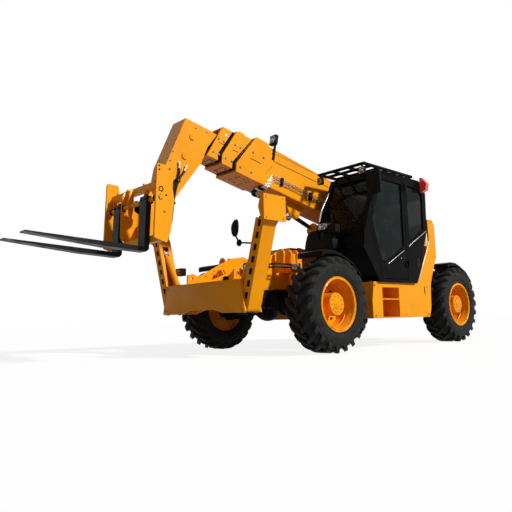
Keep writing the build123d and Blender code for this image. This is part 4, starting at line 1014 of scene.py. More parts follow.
class MakeBoomFittings(Maker):
    """Makes the boom's bolts, adjusting slots painted as dark strips of shade, mouth bands of wear pad and
    painted gap shade, seams and covers
    """

    bl_idname = "handler.boom_fittings"
    bl_label = "Boom fittings"

    def make(self):
        for collar in COLLARS:
            self.bolts(collar)
            self.slots(collar)
        for collar, mouth in zip(COLLARS, MOUTHS):
            self.band(collar["body"], mouth)
        for collar, mouth in zip(COLLARS[1:], MOUTHS):
            self.collar_strip(collar, mouth)
        self.seams()
        self.covers()
        self.pivot()

    def bolts(self, collar):
        body, out = collar["body"], collar["half"] - 0.5
        size = 1000 * self.sizes.bolt
        rows = [(side, stations, n) for side in SIDES for stations, n in (collar["upper"], collar["lower"])]
        heads = [beside(side, s, out, n, on_boom) for side, stations, n in rows for s in stations[::2]]
        self.scatter(f"collar_bolts_{body}", hex_bolt(size * 1.15, 7), heads, "bolt_steel", body)
        peg = turned("peg", [(0.2, 3.2), (5, 3), (6.8, 1.6), (8.5, 1.4), (9.5, 0), (0.2, 0)], Matrix(), 20)
        pegs = [beside(side, stations[1], out, n, on_boom) for side, stations, n in rows]
        self.scatter(f"grease_pegs_{body}", peg, pegs, "ram_yellow", body)
        stations, half = collar["under"]
        under = [facing(on_boom(s, y * share, collar["low"] + 0.5), -BOOM_UP)
                 for share, line in ((1, stations), (0.45, stations[::2])) for y in (-half, half) for s in line]
        self.scatter(f"under_bolts_{body}", hex_bolt(size * 0.9, 6), under, "bolt_steel", body)

    def slots(self, collar):
        # The adjusting slots are dark strips on the sides: painted shade where the open slots would be dark
        # inside.
        first, last, n = collar["slot"]
        strips = []
        for side in SIDES:
            y = side * (collar["half"] - 0.4)
            strips.append(slit("slot", on_boom(last, y, n), on_boom(first, y, n - 2), 9))
        self.put(f"pad_slot_shades_{collar['body']}", strips, "seal_black", collar["body"])

    def band(self, body, mouth):
        # A black band round the next section at the mouth: partly wear pad, partly painted shade of the gap.
        half, top, low = mouth["next"]
        kink_s, kink_n = mouth["kink"]
        line = [(mouth["low"], low - BAND_T), (kink_s, kink_n), (mouth["top"], top + BAND_T)]
        outline = [(s + 1, n) for s, n in line] + [(s + BAND, n) for s, n in reversed(line)]
        pieces = []
        for side in SIDES:
            depth = span(side, half + 1.5, half + BAND_T)
            pieces.append(plate("cheek", outline, depth, 1.5, BOOM_PLACE))
        for s, n in ((mouth["low"], (low - BAND_T, low - 1.5)), (mouth["top"], (top + 1.5, top + BAND_T))):
            pieces.append(block("cross", (s + 1, -half, n[0]), (s + BAND, half, n[1]), 1.5, 2, BOOM_PLACE))
        self.put(f"mouth_pad_shade_{body}", pieces, "pad_black_gap_shade", body)

    def collar_strip(self, collar, mouth):
        """The black band that shows ahead of the mouth, on the next section's collar: partly the wear pad's
        edge, partly painted shade of the gap.
        """
        line = [(mouth["low"], collar["low"] + 1), mouth["kink"], (mouth["top"], mouth["next"][1] + 11)]
        outline = [(s + 29, n) for s, n in line] + [(s + 50, n) for s, n in reversed(line)]
        half = collar["half"]
        pieces = [plate("strip", outline, span(side, half - 1, half + 1.8), 0.8, BOOM_PLACE) for side in SIDES]
        low = mouth["low"]
        pieces.append(block("strip", (low + 29, 2 - half, collar["low"] - 1.8),
                            (low + 50, half - 2, collar["low"] + 1), 0.8, 2, BOOM_PLACE))
        self.put(f"pad_edge_shade_{collar['body']}", pieces, "pad_black_gap_shade", collar["body"])

    def seams(self):
        lines = [((3722, -76), (2800, -40), 9), ((3700, 42), (2899, 72), 4), ((3720, -141), (3893, -420), 4),
                 ((2700, -30), (900, 40), 9)]
        strips = [slit("seam", on_boom(start[0], y, start[1]), on_boom(end[0], y, end[1]), wide, 0.9)
                  for y in (-BOOM_SIDE - 0.2, BOOM_SIDE + 0.2) for start, end, wide in lines]
        self.put("boom_seams", strips, "seal_black", "boom")
        ribs = [bar("weld", on_boom(-170, side * BOOM_SIDE, n), on_boom(3830, side * BOOM_SIDE, n), 3.5, 0, 12)
                for side in SIDES for n in (80, -455)]
        self.put("boom_welds", ribs, "body_yellow", "boom")

    def covers(self):
        hump = [(4402, 66), (4388, 84), (4350, 104), (4312, 115), (4268, 116), (4238, 102), (4214, 84),
                (4180, 66)]
        self.dress(plate("stage_2_hump", hump, (-150, 150), 6, BOOM_PLACE), "body_yellow", "stage_2",
                   "body_paint")
        caps = [turned("cap", [(0.2, 5), (10, 4.4), (14, 2.6), (16.5, 2.2), (17.5, 0), (0.2, 0)],
                       beside(side, 4538, 149.8, -40, on_boom), 28) for side in SIDES]
        self.put("stage_3_caps", caps, "pipe_zinc", "stage_3")
        ovals = [slit("oval", on_boom(4217, side * 178.8, 6), on_boom(4262, side * 178.8, 14), 16, 1.4)
                 for side in SIDES]
        self.put("stage_2_ovals", ovals, "ram_yellow", "stage_2")

    def pivot(self):
        caps = []
        for side in SIDES:
            place = beside(side, PIVOT[0], 298, PIVOT[1])
            profile = [(0.3, 11.5), (30, 11), (36, 8), (58, 7.5), (62, 4), (62, 0), (0.3, 0)]
            caps.append(turned("pin_cap", profile, place, 40))
            caps.append(copies("pin_bolts", hex_bolt(10, 6), around(place, 6, 0.047, 0.0065)))
        self.put("boom_pin_caps", caps, "bolt_steel")


# ---- hoses
def hose(maker, name, points, body, diameter=None):
    """A hose along its route's points in metres."""
    across = diameter or maker.sizes.hose
    curve = bpy.data.curves.new(name, "CURVE")
    curve.dimensions = "3D"
    spline = curve.splines.new("NURBS")
    spline.points.add(len(points) - 1)
    for knot, point in zip(spline.points, points):
        knot.co = (*point, 1)
    spline.order_u = 3
    spline.use_endpoint_u = True
    spline.resolution_u = 14
    piece = bpy.data.objects.new(name, curve)
    bpy.context.collection.objects.link(piece)
    line = bpy.data.meshes.new_from_object(piece)
    bpy.data.meshes.remove(line)
    curve.bevel_depth = across / 2
    curve.bevel_resolution = 5
    curve.use_fill_caps = True
    maker.dress(piece, "hose_rubber", body)
    return piece


def swivel(name, start, way, size=1.0):
    """A hose end: crimped sleeve, hexagon nut and neck, standing at start along way."""
    sleeve = solid("sleeve", [(13, 92), (15.5, 88), (15.5, 76), (14, 74), (15.5, 72), (15.5, 60), (14, 58),
                              (15.5, 56), (15.5, 46), (12, 42), (9, 41), (9, 24)], Matrix.Scale(size, 4), 24)
    piece = joined(name, sleeve, hex_bolt(19 * size, 20 * size))
    piece.data.transform(facing(start, way))
    return piece


PIPE_ROWS = (-351, -330, -296, -276)


class MakeBoomHoses(Maker):
    """Makes the boom's pipes with their unions and saddles, and the hoses under it"""

    bl_idname = "handler.boom_hoses"
    bl_label = "Boom hoses"

    def make(self):
        unions, pipes = [], []
        for row, n in enumerate(PIPE_ROWS):
            s = 3644 + 20 * row
            line = ((1200, 211, n), (s, 211, n), (s + 136, 211, -500), (s + 136, 90, -500))
            pipes.append(pipe("pipe", [on_boom(*point) for point in line], 5.2))
            for s in (1205, 3400 - 60 * row):
                unions.append(facing(on_boom(s, 211, n), BOOM_WAY))
        steel = self.put("boom_pipe_run", pipes, "polished_chrome", "boom", "pipe_steel")
        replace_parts(steel, "boom_pipes")
        self.scatter("pipe_unions", hex_bolt(8.5, 26), unions, "pipe_zinc", "boom")
        saddles = []
        for s in (1300, 2100, 2900, 3500):
            saddles.append(block("saddle", (s - 3, 197, -368), (s + 43, 224, -256), 3, 2, BOOM_PLACE))
            bolts = [beside(1, s + 20, 223.5, n, on_boom) for n in (-362, -262)]
            saddles.append(copies("saddle_bolts", hex_bolt(8, 6), bolts))
        self.put("pipe_saddles", saddles, "trim_black", "boom")
        ends = []
        for row in range(4):
            s = 3780 + 20 * row
            ends.append(swivel(f"pipe_end_{row}", on_boom(s, 92, -500), -LEFT, 0.55))
            hose(self, f"boom_hose_{row}", [
                on_boom(s, 56, -500), on_boom(s, 0, -502), on_boom(s - 30, -70, -512 - 5 * row),
                on_boom(s - 110, -112, -522 - 6 * row), on_boom(s - 230, -128 + 8 * row, -512),
                on_boom(s - 330, -130 + 14 * row, -486), on_boom(s - 360, -130 + 14 * row, -462)],
                 "boom", 0.015)
        self.put("pipe_ends", ends, "pipe_zinc", "boom")
        clamp = block("hose_clamp", (3762, 100, -516), (3850, 156, -464), 5, 2, BOOM_PLACE)
        sunk(clamp, lambda f: f.normal.z < -0.9 and f.area > 0.002, 0.006, (0, 0, -0.003))
        gland = block("hose_gland", (3395, -150, -480), (3470, -60, -464), 4, 2, BOOM_PLACE)
        self.put("hose_clamp", [clamp, gland], "trim_black", "boom")


class MakeNeckFittings(Maker):
    """Makes the gooseneck's boss rings, hose ends, clamp, hoses and bolts"""

    bl_idname = "handler.neck_fittings"
    bl_label = "Gooseneck fittings"

    def make(self):
        profile = [(44, 0), (44, 6), (41, 13.8), (34, 13.9), (31, 11), (8, 11), (5, 13), (0.3, 13)]
        rings = [turned("boss_ring", profile, beside(side, x, NECK_SIDE + 2, z), 40)
                 for side in SIDES for x, z in ((4478, 2656), (4595, 2393))]
        self.put("neck_bosses", rings, "body_yellow", "neck", "body_paint")
        ends, out = [], 159
        for number, (x, z, ahead_by, down) in enumerate(((4685, 2290, 0.02, -1), (4584, 2259, 0.42, -0.9))):
            ends.append(swivel("neck_end", at(x, 154, z), (ahead_by, 0.03, down), 0.8))
            ends.append(solid("elbow_seat", [(13, 26), (17, 22), (17, 0)], beside(1, x, NECK_SIDE, z), 24))
            y = out + 5 * number
            hose(self, f"neck_hose_{number}", [
                at(x + 68 * ahead_by, y - 4, z + 70 * down), at(x + 150 * ahead_by, y, z + 120 * down),
                at(4705 - 26 * number, y + 2, 2118), at(4736 - 20 * number, y + 2, 2040),
                at(4768 - 20 * number, y + 2, 1950), at(4797 - 22 * number, y + 2, 1830),
                at(4815 - 24 * number, y, 1690), at(4832 - 24 * number, y - 2, 1560),
                at(4858 - 20 * number, y - 6, 1470), at(4902 - 14 * number, y - 22, 1436),
                at(4934 - 10 * number, 128, 1438 + 4 * number)], "neck")
        self.put("neck_hose_ends", ends, "pipe_zinc", "neck")
        held = ((4719, 2062), (4793, 1790))
        clamps = [block("clamp", (x - 32, NECK_SIDE, z - 16), (x + 32, 184, z + 16), 5) for x, z in held]
        self.put("neck_clamps", clamps, "trim_black", "neck")
        screws = [beside(1, x, 183, z) for x, z in held]
        small = [beside(side, x, NECK_SIDE + 0.6, z) for side in SIDES
                 for x, z in ((4760, 2420), (4800, 2300), (4420, 2780), (4250, 2760))]
        self.scatter("neck_screws", hex_bolt(9, 6), screws + small, "bolt_steel", "neck")
        ribs = []
        line = [(4572, 2871), (4859, 2245), (4925, 1950), (4930, 1690)]
        for side in SIDES:
            for start, end in zip(line, line[1:]):
                ribs.append(bar("neck_weld", at(start[0] - 4, side * (NECK_SIDE - 1), start[1] - 5),
                                at(end[0] - 4, side * (NECK_SIDE - 1), end[1] - 5), 4, 0, 12))
        self.put("neck_welds", ribs, "body_yellow", "neck")
        bumps = [facing(at(x, y, z), (0.9, 0, 0.4)) for x, z in ((4700, 2592), (4812, 2347)) for y in (-90, 90)]
        self.scatter("neck_front_bolts", hex_bolt(10, 6), bumps, "bolt_steel", "neck")


class MakeCarriageFittings(Maker):
    """Makes the carriage's shaft ends, guide blades, clevis, stops and bolts"""

    bl_idname = "handler.carriage_fittings"
    bl_label = "Carriage fittings"

    def make(self):
        ends = []
        for side in SIDES:
            place = beside(side, 223, CARRIAGE_SIDE, 239, on_carriage)
            profile = [(10, 20), (13, 12.5), (26, 12), (30, 9), (46, 8.5), (50, 5), (50, 0)]
            ends.append(solid("shaft_end", profile, Matrix.Scale(0.6, 4), 32))
            ends[-1].data.transform(place)
            ends.append(copies("end_bolts", hex_bolt(7, 5), around(place, 4, 0.022, 0.005, 20 / 90)))
        self.put("shaft_ends", ends, "bolt_steel", "carriage")
        # The holes and hook slots are dark rings on the side plates: painted shade where the open holes would
        # be dark inside.
        marks = [beside(side, x, CARRIAGE_SIDE + 0.8, z, on_carriage) for side in SIDES
                 for x, z in ((256, 572), (252, 530), (128, 560), (156, 268), (170, 85))]
        hole = turned("hole", [(0.2, 0.6), (8, 0.6), (9.5, 1.4), (11, 1.4), (11.6, 0), (0.2, 0)], Matrix(), 20)
        self.scatter("plate_hole_shades", hole, marks, "seal_black", "carriage")
        arcs = [turned("hook_slot", [(19, 0), (19, 1.6), (31, 1.6), (31, 0)],
                       beside(side, 223, CARRIAGE_SIDE + 0.4, 325, on_carriage), 32, closed=True)
                for side in SIDES]
        self.put("hook_slot_shades", arcs, "seal_black", "carriage")
        blades = [plate("blade", [(196, 440), (236, 440), (258, 380), (266, 250), (256, foot + 50),
                                  (234, foot), (214, foot), (200, foot + 90)], (y - 8, y + 8), 3,
                        CARRIAGE_PLACE) for y, foot in ((-202, -148), (-45, 95))]
        self.put("guide_blades", blades, "body_yellow", "carriage", "body_paint")
        stops = [block("fork_stop", (186, y - 16, 430), (214, y + 16, 462), 4, 2, CARRIAGE_PLACE)
                 for y in (-400, -180, 180, 400)]
        for y in (-520, 520):
            stops.append(block("gusset", (150, y - 9, 300), (200, y + 9, 380), 4, 2, CARRIAGE_PLACE))
        self.put("beam_stops", stops, "body_yellow", "carriage", "body_paint")
        collars = []
        for y in (-478, -200, 200, 478):
            place = beside(1, 223, y - 14, 239, on_carriage)
            collars.append(turned("collar", [(25.6, 0), (25.6, 28), (36, 28), (39, 25), (39, 3), (36, 0)],
                                  place, 32, closed=True))
        self.put("shaft_collars", collars, "axle_black", "carriage")
        clevis = plate("tilt_clevis", [(60, 250), (196, 300), (196, 180), (110, 150), (60, 190)], (-30, 30),
                       6, CARRIAGE_PLACE)
        mark(clevis, "FACE", lambda f: abs(f.normal.y) > 0.95)
        bpy.ops.mesh.inset(thickness=0.012)
        bpy.ops.mesh.extrude_region_shrink_fatten(TRANSFORM_OT_shrink_fatten={"value": -0.006})
        leave()
        self.dress(clevis, "axle_black", "carriage")
        pins = []
        for side in SIDES:
            pins.append(solid("pin_end", [(24, 8), (30, 4), (33, 0)],
                              beside(side, 0, 219.5, 0, on_carriage), 32))
            pins.append(bar("keeper", on_carriage(-6, side * 214, 0), on_carriage(-6, side * 214, 62),
                            5, 1, 12))
        self.put("tilt_pin_ends", pins, "bolt_steel", "carriage")
        heels = []
        for y in (-290, 290):
            bolts = [facing(on_carriage(270.5, out, 250), (1, 0, 0.05)) for out in (y - 40, y + 40)]
            heels.append(copies("fork_bolts", hex_bolt(11, 8), bolts))
            heels.append(block("fork_lock", (216, y - 15, 284), (250, y + 15, 312), 4, 2, CARRIAGE_PLACE))
        self.put("fork_locks", heels, "fork_black", "carriage", "fork_paint")


# ---- stabilisers and nose
LEG_LEAN = math.radians(17)
LEG_PIN = (760, 567)
LEG_FACES = (4057, 4251)
FRONT_FACE = 4288


def leg_point(along, inward, side=1):
    """The (y, z) of a point on a raised leg."""
    return (side * (LEG_PIN[0] + along * math.sin(LEG_LEAN) - inward * math.cos(LEG_LEAN)),
            LEG_PIN[1] + along * math.cos(LEG_LEAN) + inward * math.sin(LEG_LEAN))


class MakeStabiliserFittings(Maker):
    """Makes the front plate's bolts and edge, the pins' caps and the legs' fittings"""

    bl_idname = "handler.stabiliser_fittings"
    bl_label = "Stabiliser fittings"

    def make(self):
        places = [fore(FRONT_FACE - 0.5, side * y, z) for side in SIDES for y, z in ((705, 842), (762, 560))]
        self.scatter("plate_bolts", hex_bolt(13, 9), places, "body_yellow")
        seats = solid("seat", [(24, 1.5), (26, 0)], Matrix(), 28)
        self.scatter("plate_bolt_seats", seats, places, "body_yellow")
        low = 509
        edge = [(-815, low), (-741, 886), (741, 886), (815, low), (420, low), (230, low + 45),
                (-230, low + 45), (-420, low)]
        outer = [(y * 0.994, (z - 700) * 0.986 + 700) for y, z in edge]
        rim = ring_plate("front_plate_rim", outer, (FRONT_FACE - 0.2, FRONT_FACE + 2.4), 9, 1, axes="yz")
        inner = [(y * 0.965, (z - 700) * 0.93 + 700) for y, z in edge]
        sheet = cross_plate("front_plate_sheet", inner, (FRONT_FACE - 0.5, FRONT_FACE + 1.2), 0.8)
        for piece in (rim, sheet):
            self.dress(piece, "body_yellow", slot="body_paint")
        for side, name in NAMED_SIDES:
            self.leg(side, name)
        hinges = [solid("pin_cap", [(22, 8), (27, 4), (27, 0)], fore(4030, side * y, z, -1), 28)
                  for side in SIDES for y, z in (LEG_PIN, (600, 780))]
        self.put("leg_pin_caps", hinges, "bolt_steel")

    def leg(self, side, name):
        body = f"leg_{name}"
        welds = []
        for inward in (-66, 66):
            a, b = leg_point(40, inward, side), leg_point(1000, inward, side)
            for x in reversed(LEG_FACES):
                welds.append(bar("leg_weld", at(x, *a), at(x, *b), 3.5, 0, 12))
        self.put(f"leg_welds_{name}", welds, "body_yellow", body)
        bosses = [turned("boss", [(27, 0), (27, 6), (40, 6), (44, 3), (44, 0)],
                         fore(x, *leg_point(0, 0, side), way), 32, closed=True)
                  for x, way in ((LEG_FACES[0] + 1, -1), (LEG_FACES[1] - 1, 1))]
        self.put(f"leg_bosses_{name}", bosses, "body_yellow", body)
        lips = []
        for step in range(7):
            along = 99 + 957 * step / 7
            corners = [leg_point(along + ahead, inward, side)
                       for ahead, inward in ((-4, -29), (78, -29), (78, 29), (-4, 29))]
            lips.append(ring_plate("lip", corners, (4248.5, 4251.6), 4.5, 0.8, axes="yz"))
        self.put(f"leg_window_lips_{name}", lips, "body_yellow", body)
        corners = [leg_point(*point, side) for point in ((60, -40), (1030, -40), (1030, 40), (60, 40))]
        # A dark sheet inside the hollow leg, behind its windows: painted shade, so that the windows look dark
        # inside.
        self.dress(cross_plate(f"leg_window_shade_{name}", corners, (4229, 4233), 0.8), "seal_black", body)
        near, far = span(side, 1152, 1169)
        pads = [block("pad_rib", (3985, near, low), (4275, far, high), 3)
                for low, high in ((1504, 1518), (1768, 1781))]
        holes = [facing(at(x, side * 1171.8, z), (0, side, 0)) for x in (4000, 4262) for z in (1530, 1757)]
        self.put(f"foot_ribs_{name}", pads, "body_yellow", body)
        self.scatter(f"foot_bolts_{name}", hex_bolt(9, 6), holes, "body_yellow", body)


class MakeNoseFittings(Maker):
    """Makes the nose's crest, bushes, plugs, bolts, recess boxes and hoses"""

    bl_idname = "handler.nose_fittings"
    bl_label = "Nose fittings"

    def make(self):
        half = [(445, 830), (445, 985), (425, 1060), (380, 1100), (320, 1098), (285, 1060), (262, 1020),
                (225, 1004), (175, 1008), (120, 1040), (60, 1078)]
        crest = [(-y, z) for y, z in half] + [(0, 1092)] + half[::-1]
        humps = [cross_plate("hump", crest, (x, x + 22), 4) for x in (3618, 3668)]
        self.put("nose_humps", humps, "body_yellow", slot="body_paint")
        bushes = []
        for side in SIDES:
            bushes.append(turned("bush", [(16, 0), (16, 5), (30, 5), (34, 0)],
                                 fore(3690, side * 352, 1048), 28, closed=True))
            for y, way in ((449.6, -1), (475.4, 1)):
                bushes.append(turned("lug_bush", [(20.5, 0), (20.5, 4), (34, 4), (37, 0)],
                                     facing(at(4080, side * y, 975), (0, side * way, 0)), 28, closed=True))
        self.put("nose_bushes", bushes, "body_yellow")
        outer = ((3060, 1240), (3240, 1262), (3420, 1222), (3620, 1130), (3780, 1050), (3900, 990),
                 (3700, 860), (3900, 700))
        bolts = [beside(side, x, NOSE_SIDE, z) for side in SIDES for x, z in outer]
        inner = [facing(at(x, side * 450, z), -side * LEFT) for side in SIDES
                 for x, z in ((3850, 1020), (3700, 1092), (3540, 1172))]
        self.scatter("nose_bolts", hex_bolt(11, 7), bolts + inner, "body_yellow")
        squares = [sunk(block("square", (3688, y - 42, 930), (3712, y + 42, 1000), 4),
                        lambda f: f.normal.x > 0.9 and f.area > 0.002, 0.008, (-0.006, 0, 0))
                   for y in (-210, 210)]
        self.put("nose_plugs", squares, "trim_black")
        self.recess()
        self.hoses()

    def recess(self):
        boxes = []
        for side in SIDES:
            near, far = span(side, NOSE_SIDE + 1, 560)
            boxes.append(sunk(block("recess", (3560, near, 560), (3740, far, 780), 6),
                              lambda f: side * f.normal.y > 0.9 and f.area > 0.01, 0.014,
                              (0, -side * 0.012, 0)))
        self.put("nose_recess_boxes", boxes, "axle_black")

    def hoses(self):
        ends, seats = [], []
        for side, name in NAMED_SIDES:
            seats.append(solid("grommet", [(24, 20), (34, 14), (38, 4), (38, 0)],
                               beside(side, 3600, NOSE_SIDE + 1, 1084), 32))
            for number, z in enumerate((1058, 1098)):
                hose(self, f"nose_hose_{name}_{number}",
                     [at(3600, side * 494, z + 4), at(3604, side * 560, z + 4), at(3640, side * 646, z - 2),
                      at(3570, side * 661, z - 1), at(3470, side * 661, z), at(3350, side * 658, z)],
                     "chassis", 0.02)
                ends.append(swivel("nose_end", at(3272, side * 658, z), (1, 0, 0), 0.85))
                ends.append(bar("nose_pipe", at(3236, side * 658, z), at(3278, side * 658, z), 8, 1, 16))
                ends.append(copies("nose_nut", hex_bolt(17, 24), [fore(3249, side * 658, z)]))
            y = span(side, 618, 690)
            ends.append(block("union_block", (3211, y[0], 1040), (3250, y[1], 1118), 5))
        self.put("nose_hose_ends", ends, "pipe_zinc")
        self.put("nose_grommets", seats, "seal_black")
        route = ((3958, 530, 1022), (3940, 528, 1005), (3932, 522, 960), (3934, 515, 905), (3938, 505, 850),
                 (3944, 492, 815), (3950, 474, 800))
        hose(self, "lamp_lead_left", [at(*point) for point in route], "chassis", 0.012)


class MakeLevellingRams(Maker):
    """Makes the levelling rams between the nose and the front axle, with round-headed lugs"""

    bl_idname = "handler.levelling_rams"
    bl_label = "Levelling rams"

    def make(self):
        x = AXLES["front"] + 112
        parts, rods = [], []
        for side in SIDES:
            for place in (x - 72, x + 50, x + 180):
                head = [(side * (574 + 66 * math.sin(a)), 1232 + 66 * math.cos(a))
                        for a in (math.radians(-84 + 12 * i) for i in range(17))]
                outline = [(side * NOSE_SIDE, 1002), (side * NOSE_SIDE, 1120), (side * 505, 1170), *head,
                           (side * 630, 1130), (side * 630, 1002)]
                parts.append(cross_plate("lug", outline, (place, place + 22), 3))
                for start, way in ((place, -1), (place + 22, 1)):
                    parts.append(solid("boss", [(22, 9), (28, 5), (34, 4), (36, 0)],
                                       fore(start, side * 574, 1232, way), 28))
            y = span(side, NOSE_SIDE, 640)
            parts.append(block("foot", (x - 60, y[0], 1000), (x + 60, y[1], 1022), 4))
            barrel = [(34, 0), (42, 6), (42, 60), (46, 62), (46, 84), (42, 86), (42, 470), (34, 480)]
            parts.append(solid("barrel", barrel, upright(x, side * 590, 762), 32))
            rods.append(bar("ram_rod", at(x, side * 590, TYRE_R + 40), at(x, side * 590, 770), 26, 3, 28))
        whole = self.put("levelling_lugs", parts, "body_yellow", slot="body_paint")
        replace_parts(whole, "levelling_rams")
        self.put("levelling_rods", rods, "polished_chrome")


# ---- cab
DOOR_LIGHT = [(1575, 1384), (2022, 1138), (2165, 1168), (2340, 1727), (2084, 2303), (1575, 2303)]
QUARTER_LIGHT = [(1456, 1433), (1456, 2303), (1083, 2303), (1005, 2224), (1022, 1669)]
INNER_LIGHT = [(1022, 1679), (2401, 1580), (2430, 1620), (2101, 2313), (1108, 2313), (1005, 2210)]
SCREEN = ((2504, 1585), (2173, 2335))


class MakeCabTrim(Maker):
    """Makes the panes' seals, bright strips painted as edge highlights and pillar strips, the wiper and the
    handles
    """

    bl_idname = "handler.cab_trim"
    bl_label = "Cab trim"

    def make(self):
        self.seals()
        self.lines()
        self.wiper()
        self.handles()

    def seals(self):
        out = CAB_OUT
        self.dress(ring_plate("door_seal", DOOR_LIGHT, (out - 16, out + 2), 13, 3), "seal_black", "door")
        rest = [ring_plate("quarter_seal", QUARTER_LIGHT, (out - 16, out + 2), 13, 3),
                ring_plate("inner_seal", INNER_LIGHT, (CAB_IN - 2, CAB_IN + 16), 13, 3),
                ring_plate("rear_seal", oblong((430, 1757), (1134, 2170)), (934, 946), 12, 3, axes="yz")]
        low, high = (Vector((x, 0, z)) for x, z in SCREEN)
        way = high - low
        tilt = math.atan2(-way.x, way.z)
        place = Matrix.Translation(at(low.x, 0, low.z)) @ Matrix.Rotation(-tilt, 4, "Y")
        size = way.length
        rest.append(ring_plate("screen_seal", oblong((430, 2), (1134, size - 2)), (-12, 4), 14, 3,
                               place, axes="yz"))
        self.put("window_seals", rest, "seal_black")

    def lines(self):
        y = CAB_OUT
        # Bright metal strips along the lower edges of the door and quarter windows and along the rear panel's
        # flange: painted highlights of those edges.
        self.dress(bar("door_highlight_line", at(1588, y + 1, 1337), at(2008, y + 1, 1126), 4, 1, 12), "pipe_zinc",
                   "door")
        rest = [bar("quarter_highlight_line", at(958, y + 1, 1672), at(1457, y + 1, 1409), 4, 1, 12),
                bar("panel_edge_highlight", at(1200, 1152, 905), at(822, 1152, 1535), 5, 1, 12)]
        self.put("side_highlight_lines", rest, "pipe_zinc")
        edge = [(2536, 1352), (2512, 1532), (2330, 1940), (2140, 2370)]
        strips = [bar("pillar_strip", at(start[0], y - 3, start[1]), at(end[0], y - 3, end[1]), 11, 4, 20)
                  for start, end in zip(edge, edge[1:])]
        strips.append(block("drip_rail", (1090, y - 14, 2399), (2130, y + 8, 2415), 4))
        strips.append(block("sill", (1310, y - 20, 886), (2190, y + 2, 902), 4))
        self.put("pillar_strips", strips, "cab_black", slot="cab_paint")

    def wiper(self):
        parts = [solid("pivot", [(10, 30), (16, 24), (19, 6), (24, 0)],
                       facing(at(2529, 560, 1510), (0.94, 0, 0.32)), 24),
                 bar("arm", at(2552, 560, 1520), at(2494, 640, 1740), 7, 1, 12),
                 bar("blade", at(2518, 700, 1600), at(2432, 590, 1850), 6, 1, 12),
                 bar("blade_back", at(2526, 700, 1602), at(2440, 590, 1852), 3.5, 1, 10)]
        self.put("screen_wiper", parts, "trim_black")

    def handles(self):
        y = CAB_OUT
        grip = block("grip", (1600, y - 4, 1196), (1700, y + 6, 1240), 4)
        pull = block("pull", (1612, y + 12, 1210), (1680, y + 22, 1228), 4)
        stems = [block("stem", (x, y + 2, 1212), (x + 12, y + 14, 1226), 2) for x in (1614, 1666)]
        lock = solid("lock", [(7, 9), (9, 7), (9, 0)], beside(1, 1690, y + 4, 1218), 20)
        self.put("door_handle", [grip, pull, *stems], "trim_black", "door")
        self.put("door_lock", [lock], "pipe_zinc", "door")
        hatch = block("hatch", (1206, y - 3, 1112), (1262, y + 5, 1242), 12, 3)
        knob = solid("knob", [(12, 10), (16, 6), (16, 0)], beside(1, 1234, y + 4, 1200), 24)
        self.put("side_hatch", [hatch, knob], "dash_grey")
        inside = [bar("inner_grip", at(1625, y - 62, 1330), at(1740, y - 62, 1272), 10, 2, 16)]
        for x, z in ((1632, 1327), (1733, 1276)):
            inside.append(bar("grip_foot", at(x, y - 62, z), at(x, y - 38, z), 8, 1, 14))
        self.put("door_inner_grip", inside, "trim_black", "door")
        self.dress(bar("grab_rail", at(2300, y - 60, 1640), at(2190, y - 60, 1900), 11, 2, 18), "trim_black")


